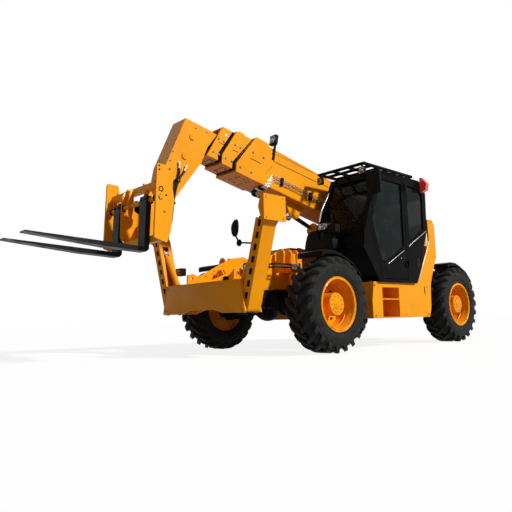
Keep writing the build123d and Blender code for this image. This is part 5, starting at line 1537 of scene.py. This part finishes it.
class MakeCabInterior(Maker):
    """Makes the seat's cushions and stand, the levers, the display and the wheel's boss"""

    bl_idname = "handler.cab_interior"
    bl_label = "Cab interior"

    def cushion(self, name, low, high, lean=0.0):
        """A crowned cushion between two corners, sewn into three channels, its sides drawn in."""
        low, high = Vector(low), Vector(high)
        bpy.ops.mesh.primitive_cube_add(size=2)
        pad = settle(bpy.context.object, name)
        mark(pad, "VERT", lambda v: True)
        bpy.ops.mesh.subdivide(number_cuts=9)
        leave()
        half = (high - low) / 2
        middle = (high + low) / 2
        for vertex in pad.data.vertices:
            x, y, z = vertex.co
            thin = 2 if half.z < half.x else 0
            flat = [x, y, z]
            round_x = 1 - 0.07 * abs(y) ** 3
            u, v = ((x, y), (y, z))[thin == 0]
            crown = (1 - 0.32 * abs(u) ** 3.2) * (1 - 0.32 * abs(v) ** 3.2)
            seam = min(abs(v - 0.4), abs(v + 0.4)) if thin else min(abs(u - 0.42), abs(u + 0.42))
            channel = 1 - 0.13 * max(0.0, 1 - seam / 0.1) ** 2
            flat[thin] = flat[thin] * crown * channel
            flat[0 if thin else 2] *= round_x
            vertex.co = Vector([m + h * f for m, h, f in zip(middle, half, flat)]) / 1000
            if lean:
                vertex.co.x += lean * (vertex.co.z - low.z / 1000)
            vertex.co.x += DATUM
        take(pad)
        sub = pad.modifiers.new("soft", "SUBSURF")
        sub.levels = sub.render_levels = 2
        bpy.ops.object.modifier_apply(modifier=sub.name)
        smooth(pad, 180)
        self.dress(pad, "woven_fabric", slot="seat_fabric")
        return pad

    def make(self):
        base = self.cushion("seat_cushion", (1322, 552, 1176), (1808, 1018, 1274))
        self.cushion("seat_backrest", (1325, 562, 1284), (1425, 1008, 1950), -0.19)
        shell = [block("seat_box", (1362, 602, 923), (1728, 968, 1120), 14, 3),
                 block("seat_pan", (1335, 570, 1122), (1790, 1000, 1178), 16, 3)]
        bellows = [block("bellow", (1352 + 5 * (i % 2), 590 + 5 * (i % 2), 990 + 22 * i),
                         (1738 - 5 * (i % 2), 980 - 5 * (i % 2), 1012 + 22 * i), 7) for i in range(6)]
        seat = self.put("seat_stand", [*shell, *bellows], "dash_grey")
        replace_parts(seat, "cab_seat")
        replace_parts(base, "cab_seat")
        levers = []
        knob = [(0.3, 72), (12, 70), (20, 60), (22, 46), (17, 26), (13, 6), (12, 0), (0.3, 0)]
        for x, y in ((1760, 1060), (1700, 512)):
            levers.append(block("arm_pod", (x - 220, y - 34, 1330), (x + 60, y + 34, 1372), 14, 3))
            levers.append(block("arm_post", (x - 190, y - 20, 1200), (x - 140, y + 20, 1335), 8, 2))
            levers.append(bar("stick", at(x + 20, y, 1368), at(x + 34, y, 1448), 7, 1, 14))
            levers.append(turned("knob", knob, facing(at(x + 33, y, 1438), (0.15, 0, 1)), 24))
        self.put("armrest_controls", levers, "trim_black")
        screen = [block("display", (2300, 830, 1492), (2326, 972, 1592), 8, 2),
                  block("display_arm", (2318, 890, 1440), (2340, 912, 1520), 4, 2)]
        self.put("dash_display", screen, "trim_black")
        self.dress(block("display_glass", (2297.5, 840, 1502), (2300.5, 962, 1582), 1, 2), "lamp_clear")
        self.dress(solid("wheel_boss", [(34, 18), (46, 12), (50, 0)],
                         facing(at(2079, 787, 1622), (-172, 0, 236)), 32), "trim_black")
        self.dress(block("seat_rail", (1330, 640, 916), (1760, 660, 932), 3), "bolt_steel")


class MakeLampsAndMirrors(Maker):
    """Makes the lamps' lenses and rims, the mirrors' glass and shells"""

    bl_idname = "handler.lamps_and_mirrors"
    bl_label = "Lamps and mirrors"

    def lens(self, name, point, way, radius, finish, body="chassis", depth=9):
        place = facing(point, way)
        ring = [(radius, 0), (radius + 5, 0), (radius + 5, depth), (radius + 2, depth + 2),
                (radius - 1, depth - 1)]
        bowl = [(0.3, depth - 1), (radius * 0.5, depth - 2), (radius * 0.86, depth - 4),
                (radius, depth - 7), (radius, 0), (0.3, 0)]
        rim = turned(f"{name}_rim", ring, place, 40, closed=True)
        face = turned(f"{name}_lens", bowl, place, 40)
        self.dress(rim, "pipe_zinc", body)
        self.dress(face, finish, body)

    def make(self):
        self.road_lamp()
        self.guard_lamps()
        self.nose_lamps()
        for side, name in NAMED_SIDES:
            self.lens(f"tail_lamp_{name}", at(-873, side * 840, 980), (-1, 0, 0), 34, "lamp_red", depth=4)
        self.lens("boom_lamp", on_boom(3750, 165, 245), BOOM_WAY, 44, "lamp_clear", "boom", 5)
        frame_ring = ring_plate("boom_lamp_frame", oblong((108, 176), (222, 313)), (3748, 3755), 10, 2,
                                BOOM_PLACE, axes="yz")
        fins = [block("fin", (3690, 116 + 17 * i, 190), (3702, 120 + 17 * i, 300), 1, 1, BOOM_PLACE)
                for i in range(6)]
        strap = block("strap", (3712, 208.5, 20), (3752, 212, 178), 1, 1, BOOM_PLACE)
        self.put("boom_lamp_shell", [frame_ring, strap, *fins], "trim_black", "boom")
        ribs = [block("rib", (982, CAB_OUT + 8, 2285 + 30 * i), (1066, CAB_OUT + 97, 2290 + 30 * i), 1.5)
                for i in range(3)]
        self.put("warning_lamp_ribs", ribs, "lamp_red", slot="lamp_plastic")
        self.mirrors()

    def road_lamp(self):
        outline = [(308, 1337), (304, 1400), (322, 1469), (350, 1550), (372, 1582), (404, 1604), (460, 1616),
                   (520, 1610), (540, 1590), (560, 1480), (800, 1470), (804, 1337)]
        parts = [cross_plate("lamp_box", outline, (2552, 2694), 14),
                 cross_plate("housing", soft_corners((560, 1594), (736, 1698), 40), (2600, 2702), 8),
                 cross_plate("indicator", soft_corners((728, 1545), (856, 1656), 18), (2590, 2690), 8),
                 block("lamp_foot", (2600, 600, 1470), (2640, 780, 1560), 6)]
        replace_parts(self.put("lamp_box", parts, "trim_black"), "front_lamps")
        self.dress(cross_plate("road_lamp_lens", soft_corners((568, 1602), (728, 1690), 34), (2698, 2706), 3),
                   "lamp_facets")
        rail = ((2185, 392, 2262), (2292, 392, 2096), (2400, 392, 1944), (2455, 392, 1770))
        self.dress(pipe("screen_rail", [at(*point) for point in rail], 11, 60), "polished_chrome")

    def guard_lamps(self):
        shells = []
        for number, y in enumerate((CAB_IN + 40, CAB_OUT - 52)):
            outline = soft_corners((y - 47, 2312), (y + 47, 2416), 16)
            shells.append(cross_plate("lamp_shell", outline, (2396, 2446), 8))
            shells.append(block("lamp_stem", (2412, y - 10, 2410), (2432, y + 10, 2440), 3))
            outline = soft_corners((y - 40, 2320), (y + 40, 2408), 14)
            self.dress(cross_plate(f"guard_lamp_lens_{number}", outline, (2444, 2449), 2), "lamp_facets")
        self.put("guard_lamp_shells", shells, "trim_black")

    def nose_lamps(self):
        shell = solid("nose_lamp_shell", [(44, 60), (52, 54), (52, 18), (40, 0)], fore(3960, 537, 1050), 36)
        stalk = pipe("stalk", [at(3975, 476, 930), at(3975, 537, 930), at(3975, 537, 1010)], 12, 20)
        arm = pipe("arm", [at(3950, -476, 905), at(3950, -1082, 905), at(3950, -1096, 1070)], 14, 40)
        far = block("far_lamp", (3935, -912, 1040), (4026, -770, 1146), 14, 3)
        ribs = [block("rib", (3940, -1106 + 24 * i, 1062), (4026, -1094 + 24 * i, 1140), 3) for i in range(9)]
        back = block("rib_back", (3932, -1108, 1056), (3960, -900, 1144), 5)
        self.put("nose_lamp_shells", [shell, stalk, arm, far, back, *ribs], "trim_black")
        self.lens("nose_lamp_left", at(4017, 537, 1050), (1, 0, 0), 44, "lamp_clear", depth=6)
        self.dress(cross_plate("nose_lamp_lens_right", soft_corners((-904, 1048), (-778, 1138), 20),
                               (4024, 4029), 2), "lamp_facets")

    def mirrors(self):
        far = [(-1249, 2056), (-1228, 2010), (-1222, 1930), (-1232, 1850), (-1262, 1790), (-1297, 1766),
               (-1340, 1778), (-1374, 1826), (-1388, 1890), (-1384, 1954), (-1350, 2010), (-1300, 2048)]
        bowl = [(0.3, 34), (40, 32), (54, 22), (60, 6), (56, 0), (0.3, 0)]
        arm = ((2222, CAB_OUT - 2, 2178), (2226, CAB_OUT + 30, 2178), (2372, 1296, 2178))
        parts = [cross_plate("mirror_shells", soft_corners((1182, 2025), (1394, 2335), 34), (2365, 2411), 13),
                 cross_plate("right", far, (2556, 2596), 12),
                 turned("near_view", bowl, fore(2500, -1283, 1672), 36),
                 pipe("left_arm", [at(*point) for point in arm], 12, 14)]
        parts.append(block("left_foot", (2200, CAB_OUT - 1, 2146), (2244, CAB_OUT + 12, 2210), 5))
        arm = ((2367, -1010, 1190), (2380, -1006, 1640), (2500, -1180, 1662), (2512, -1283, 1672),
               (2566, -1300, 1790))
        parts.append(pipe("right_arm", [at(*point) for point in arm], 14, 30))
        parts.append(block("right_foot", (2341, -1050, 1120), (2385, -970, 1196), 6))
        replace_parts(self.put("mirror_shells", parts, "trim_black"), "mirrors")
        far = [(-1252, 2036), (-1238, 2000), (-1232, 1930), (-1244, 1856), (-1268, 1804), (-1297, 1782),
               (-1336, 1792), (-1366, 1834), (-1378, 1890), (-1374, 1948), (-1344, 1998), (-1300, 2032)]
        glass = [cross_plate("glass", soft_corners((1194, 2037), (1382, 2323), 26), (2361, 2366), 1.5),
                 cross_plate("glass", far, (2552, 2557), 1.5)]
        self.put("mirror_glass", glass, "mirror_silver")


# ---- sides and rear
class MakeSideFittings(Maker):
    """Makes the side box's treads, bolts, slot and seams, and the tank's cap"""

    bl_idname = "handler.side_fittings"
    bl_label = "Side box fittings"

    def make(self):
        treads = []
        for z in (406, 656):
            treads.append(sunk(block("tread", (1728, 928, z), (2119, 1148, z + 5), 1.5),
                               lambda f: f.normal.z > 0.9 and f.area > 0.01, 0.012, (0, 0, 0.002)))
            tooth = solid("tooth", [(5, 4), (8, 0)], Matrix(), 10)
            spots = [Matrix.Translation(at(1750 + 34 * i, 945 + 36 * j, z + 6.6)) for i in range(11)
                     for j in range(6)]
            treads.append(copies("teeth", tooth, spots))
        self.put("step_treads", treads, "step_tread")
        grids = [Matrix.Translation(at(1760 + 40 * column, 922, 440 + 38 * row))
                 for row in range(5) for column in range(9)]
        button = plate("button", oblong((-13, -4), (13, 4)), (0, 6), 1.5, Matrix())
        self.scatter("step_back_ribs", button, grids, "body_yellow")
        bolts = [upright(x, 1080, 881.5) for x in (2250, 2285)]
        bolts += [beside(1, x, BOX_SIDE + 0.5, z) for x in (960, 2290) for z in (440, 840)]
        self.scatter("side_box_bolts", hex_bolt(14, 9), bolts, "body_yellow")
        # The side box's slot is a dark oval sheet: painted shade where the open slot would be dark inside.
        oval = [(1034 + 14 * math.cos(a) + 8 * math.sin(a), 784 + 66 * math.sin(a))
                for a in (2 * math.pi * i / 28 for i in range(28))]
        self.dress(plate("side_slot_shade", oval, (1149.5, 1152), 0.8), "seal_black")
        y = BOX_SIDE + 0.8
        seams = [slit("seam", at(*start), at(*end), 3, 0.6)
                 for start, end in (((1660, y, 402), (1660, y, 878)), ((2186, y, 402), (2186, y, 878)),
                                    ((1660, y, 560), (930, y, 560)))]
        self.put("side_box_seams", seams, "ram_yellow")
        steps = [bar("step_lip", at(1722, 1149, z), at(2125, 1149, z), 4, 1, 12) for z in (648, 814)]
        self.put("step_lips", steps, "body_yellow")
        self.dress(solid("tank_cap", [(38, 34), (44, 30), (46, 6), (52, 0)], upright(2120, 760, 881), 36),
                   "trim_black")
        marks = [beside(1, x, BOX_SIDE + 0.6, z)
                 for x, z in ((752, 1836), (779, 1617), (700, 1300), (820, 1000))]
        self.scatter("rear_panel_bolts", hex_bolt(10, 6), marks, "body_yellow")


class MakeEngineFittings(Maker):
    """Makes the grille, the lid's vents and latches, the radiator and the engine's own parts"""

    bl_idname = "handler.engine_fittings"
    bl_label = "Engine side fittings"

    def make(self):
        bars = [bar("wire", at(x, -1139, 762), at(x, -1139, 1118), 1.6, 0, 8)
                for x in (1512 + 20.4 * i for i in range(34))]
        bars += [bar("wire", at(1502, -1137.5, z), at(2198, -1137.5, z), 1.6, 0, 8)
                 for z in range(772, 1109, 21)]
        self.put("grille_mesh", bars, "trim_black")
        self.dress(ring_plate("grille_frame", oblong((1488, 748), (2212, 1132)), (-1153, -1148), 14, 1.5),
                   "body_yellow", slot="body_paint")
        y = -BOX_SIDE - 0.9
        # The lid's vents are dark strips: painted shade where the open vents would be dark inside.
        vents = [slit("vent", at(x, y, 1290), at(x, y, 1380), 12, 0.8) for x in range(1080, 1433, 44)]
        self.put("lid_vent_shades", vents, "seal_black", "engine_lid")
        latches = []
        for x in (1150, 2060):
            latches.append(block("latch", (x - 30, -1158, 1216), (x + 30, -1149, 1262), 4))
            latches.append(block("latch_tongue", (x - 12, -1161, 1206), (x + 12, -1152, 1240), 3))
        self.put("lid_latches", latches, "trim_black", "engine_lid")
        y = -BOX_SIDE - 0.8
        # A slightly darker line along the lid's crease: painted shade of the crease.
        self.dress(slit("lid_crease_shade", at(1000, y, 1262), at(2210, y, 1262), 4, 0.6), "ram_yellow", "engine_lid")
        dress = [block("rocker", (1060, -880, 1128), (1700, -700, 1170), 12, 3),
                 block("sump", (1080, -900, 570), (1780, -560, 620), 12, 3)]
        dress += [bar("runner", at(x, -998, 900), at(x, -1040, 980), 24, 4, 20) for x in range(1150, 1601, 150)]
        dress.append(bar("manifold", at(1100, -1044, 985), at(1700, -1044, 985), 30, 6, 24))
        self.put("engine_dressing", dress, "cast_iron", slot="engine_iron")
        fan = [solid("pulley", [(40, 40), (60, 36), (60, 8), (50, 0)], fore(1900, -710, 860), 32)]
        hub, pitch = Matrix.Translation(at(1945, -710, 860)), Matrix.Rotation(math.radians(28), 4, "Z")
        fan += [block("blade", (-4, -32, 40), (4, 32, 190), 3, 2,
                      hub @ Matrix.Rotation(math.radians(60 * i), 4, "X") @ pitch) for i in range(6)]
        self.put("engine_fan", fan, "trim_black")
        radiator = block("radiator", (2050, -1040, 640), (2110, -400, 1150), 8, 2)
        fins = [block("fin", (2044, -1030, 655 + 24 * i), (2116, -410, 661 + 24 * i), 1, 1) for i in range(20)]
        self.put("radiator", [radiator, *fins], "cast_iron")


class MakeRearFittings(Maker):
    """Makes the counterweight's bolts, eyes, plate, hitch washer and reflectors"""

    bl_idname = "handler.rear_fittings"
    bl_label = "Rear fittings"

    def make(self):
        x = WEIGHT_BACK
        places = [fore(x + 0.5, side * y, z, -1) for side in SIDES
                  for y, z in ((300, 740), (300, 1080), (560, 740), (560, 1080))]
        self.scatter("weight_bolts", hex_bolt(20, 14), places, "bolt_steel")
        edge = [(-860, 640), (-905, 708), (-905, 1045), (-795, 1150), (795, 1150), (905, 1045), (905, 708),
                (860, 640)]
        self.dress(ring_plate("weight_rim", edge, (x - 3, x + 1), 12, 1.2, axes="yz"), "body_yellow",
                   slot="body_paint")
        sheet = cross_plate("number_plate", oblong((-180, 880), (180, 980)), (x - 5, x), 2)
        sunk(sheet, lambda f: f.normal.x < -0.9, 0.008, (0.0015, 0, 0))
        self.dress(sheet, "dash_grey")
        reflectors = [solid("reflector", [(26, 5), (30, 3), (30, 0)], fore(x + 0.5, side * 700, 700, -1), 28)
                      for side in SIDES]
        # The red lens finish glows faintly; on these reflectors, which are no lamps, that glow is painted
        # light.
        self.put("reflectors", reflectors, "lamp_red")
        eyes = []
        for side in SIDES:
            eyes.append(turned("tie_eye", [(14, -9), (26, -9), (30, -5), (30, 5), (26, 9), (14, 9)],
                               beside(1, x - 24, side * 430, 660), 28, closed=True))
            eyes.append(block("eye_foot", (x - 12, side * 430 - 14, 640), (x + 1, side * 430 + 14, 680), 3))
        self.put("tie_eyes", eyes, "body_yellow", slot="body_paint")
        self.dress(turned("hitch_washer", [(16.5, 0), (34, 0), (36, 2), (36, 5), (34, 7), (16.5, 7)],
                          upright(-910, 0, 659), 32, closed=True), "bolt_steel")


class MakeAxleFittings(Maker):
    """Makes the axles' covers and kingpin caps, steering rams, hub seals and guard stays"""

    bl_idname = "handler.axle_fittings"
    bl_label = "Axle fittings"

    def make(self):
        for end, x in AXLES.items():
            parts = [solid("cover", [(60, 22), (92, 14), (104, 8), (122, 6), (122, 0)],
                           fore(x + 150, 0, TYRE_R), 40),
                     copies("cover_bolts", hex_bolt(11, 8), around(fore(x + 155.5, 0, TYRE_R), 12, 0.112))]
            for side in SIDES:
                for z, way in ((TYRE_R + 149.5, 1), (TYRE_R - 149.5, -1)):
                    place = upright(x, side * 800, z, way)
                    parts.append(solid("king_cap", [(30, 12), (40, 8), (52, 6), (54, 0)], place, 32))
                collar = [(92.5, 0), (92.5, 30), (112, 30), (116, 24), (116, 6), (112, 0)]
                parts.append(turned("collar", collar, beside(side, x, 300, TYRE_R), 40, closed=True))
            self.put(f"axle_covers_{end}", parts, "axle_black", slot="axle_paint")
            ram_x, ram_z = x + (-165 if end == "front" else 165), TYRE_R - 20
            ram = [bar("steer_barrel", at(ram_x, -230, ram_z), at(ram_x, 230, ram_z), 34, 4, 28),
                   block("steer_bracket", (ram_x - 30, -60, TYRE_R - 62), (ram_x + 30, 60, TYRE_R + 20), 5)]
            self.put(f"steer_ram_{end}", ram, "axle_black", slot="axle_paint")
            rods = [bar("steer_rod", at(ram_x, side * 228, ram_z), at(ram_x, side * 520, ram_z), 17, 2, 20)
                    for side in SIDES]
            self.put(f"steer_rods_{end}", rods, "polished_chrome", slot="rod_chrome")
            for side, name in NAMED_SIDES:
                body = f"knuckle_{end}_{name}"
                ring = turned("hub_seal", [(109, 0), (109, 26), (124, 26), (127, 22), (127, 4), (124, 0)],
                              beside(side, x, 842, TYRE_R), 40, closed=True)
                stay = bar("stay", at(x - 128, side * 812, TYRE_R + 140), at(x - 128, side * 812, TYRE_R + 520),
                           9, 1, 14)
                self.put(f"hub_seal_{end}_{name}", [ring, stay], "guard_black", body, "guard_paint")
                bolts = [upright(x + dx, side * y, TYRE_R + 649.5) for dx in (-120, -60) for y in (840, 900)]
                self.scatter(f"guard_bolts_{end}_{name}", hex_bolt(9, 5), bolts, "bolt_steel", body)


class HandlerPanel(bpy.types.Panel):
    """Lists the makers in the 3D view's sidebar"""

    bl_idname = "VIEW3D_PT_handler"
    bl_label = "Telescopic handler"
    bl_space_type = "VIEW_3D"
    bl_region_type = "UI"
    bl_category = "Handler"

    def draw(self, context):
        layout = self.layout
        for maker in MAKERS:
            layout.operator(maker.bl_idname)
        for group in (context.scene.handler_sizes, context.scene.handler_colours):
            for key in group.__annotations__:
                layout.prop(group, key)


MAKERS = (
    MakeFinishes, MakeStage, MakeBoomHoses, MakeNeckFittings, MakeNoseFittings, MakeTyres,
    MakeWheelFittings, MakeLevellingRams, MakeBoomFittings, MakeCarriageFittings,
    MakeStabiliserFittings, MakeCabTrim, MakeCabInterior, MakeLampsAndMirrors, MakeSideFittings,
    MakeEngineFittings, MakeRearFittings, MakeAxleFittings,
)
CLASSES = (HandlerSizes, HandlerColours, *MAKERS, HandlerPanel)


def register():
    for part in CLASSES:
        bpy.utils.register_class(part)
    bpy.types.Scene.handler_sizes = PointerProperty(type=HandlerSizes)
    bpy.types.Scene.handler_colours = PointerProperty(type=HandlerColours)


def unregister():
    del bpy.types.Scene.handler_sizes
    del bpy.types.Scene.handler_colours
    for part in reversed(CLASSES):
        bpy.utils.unregister_class(part)


def main():
    register()
    for maker in MAKERS:
        group, name = maker.bl_idname.split(".")
        getattr(getattr(bpy.ops, group), name)()


if __name__ == "__main__":
    main()
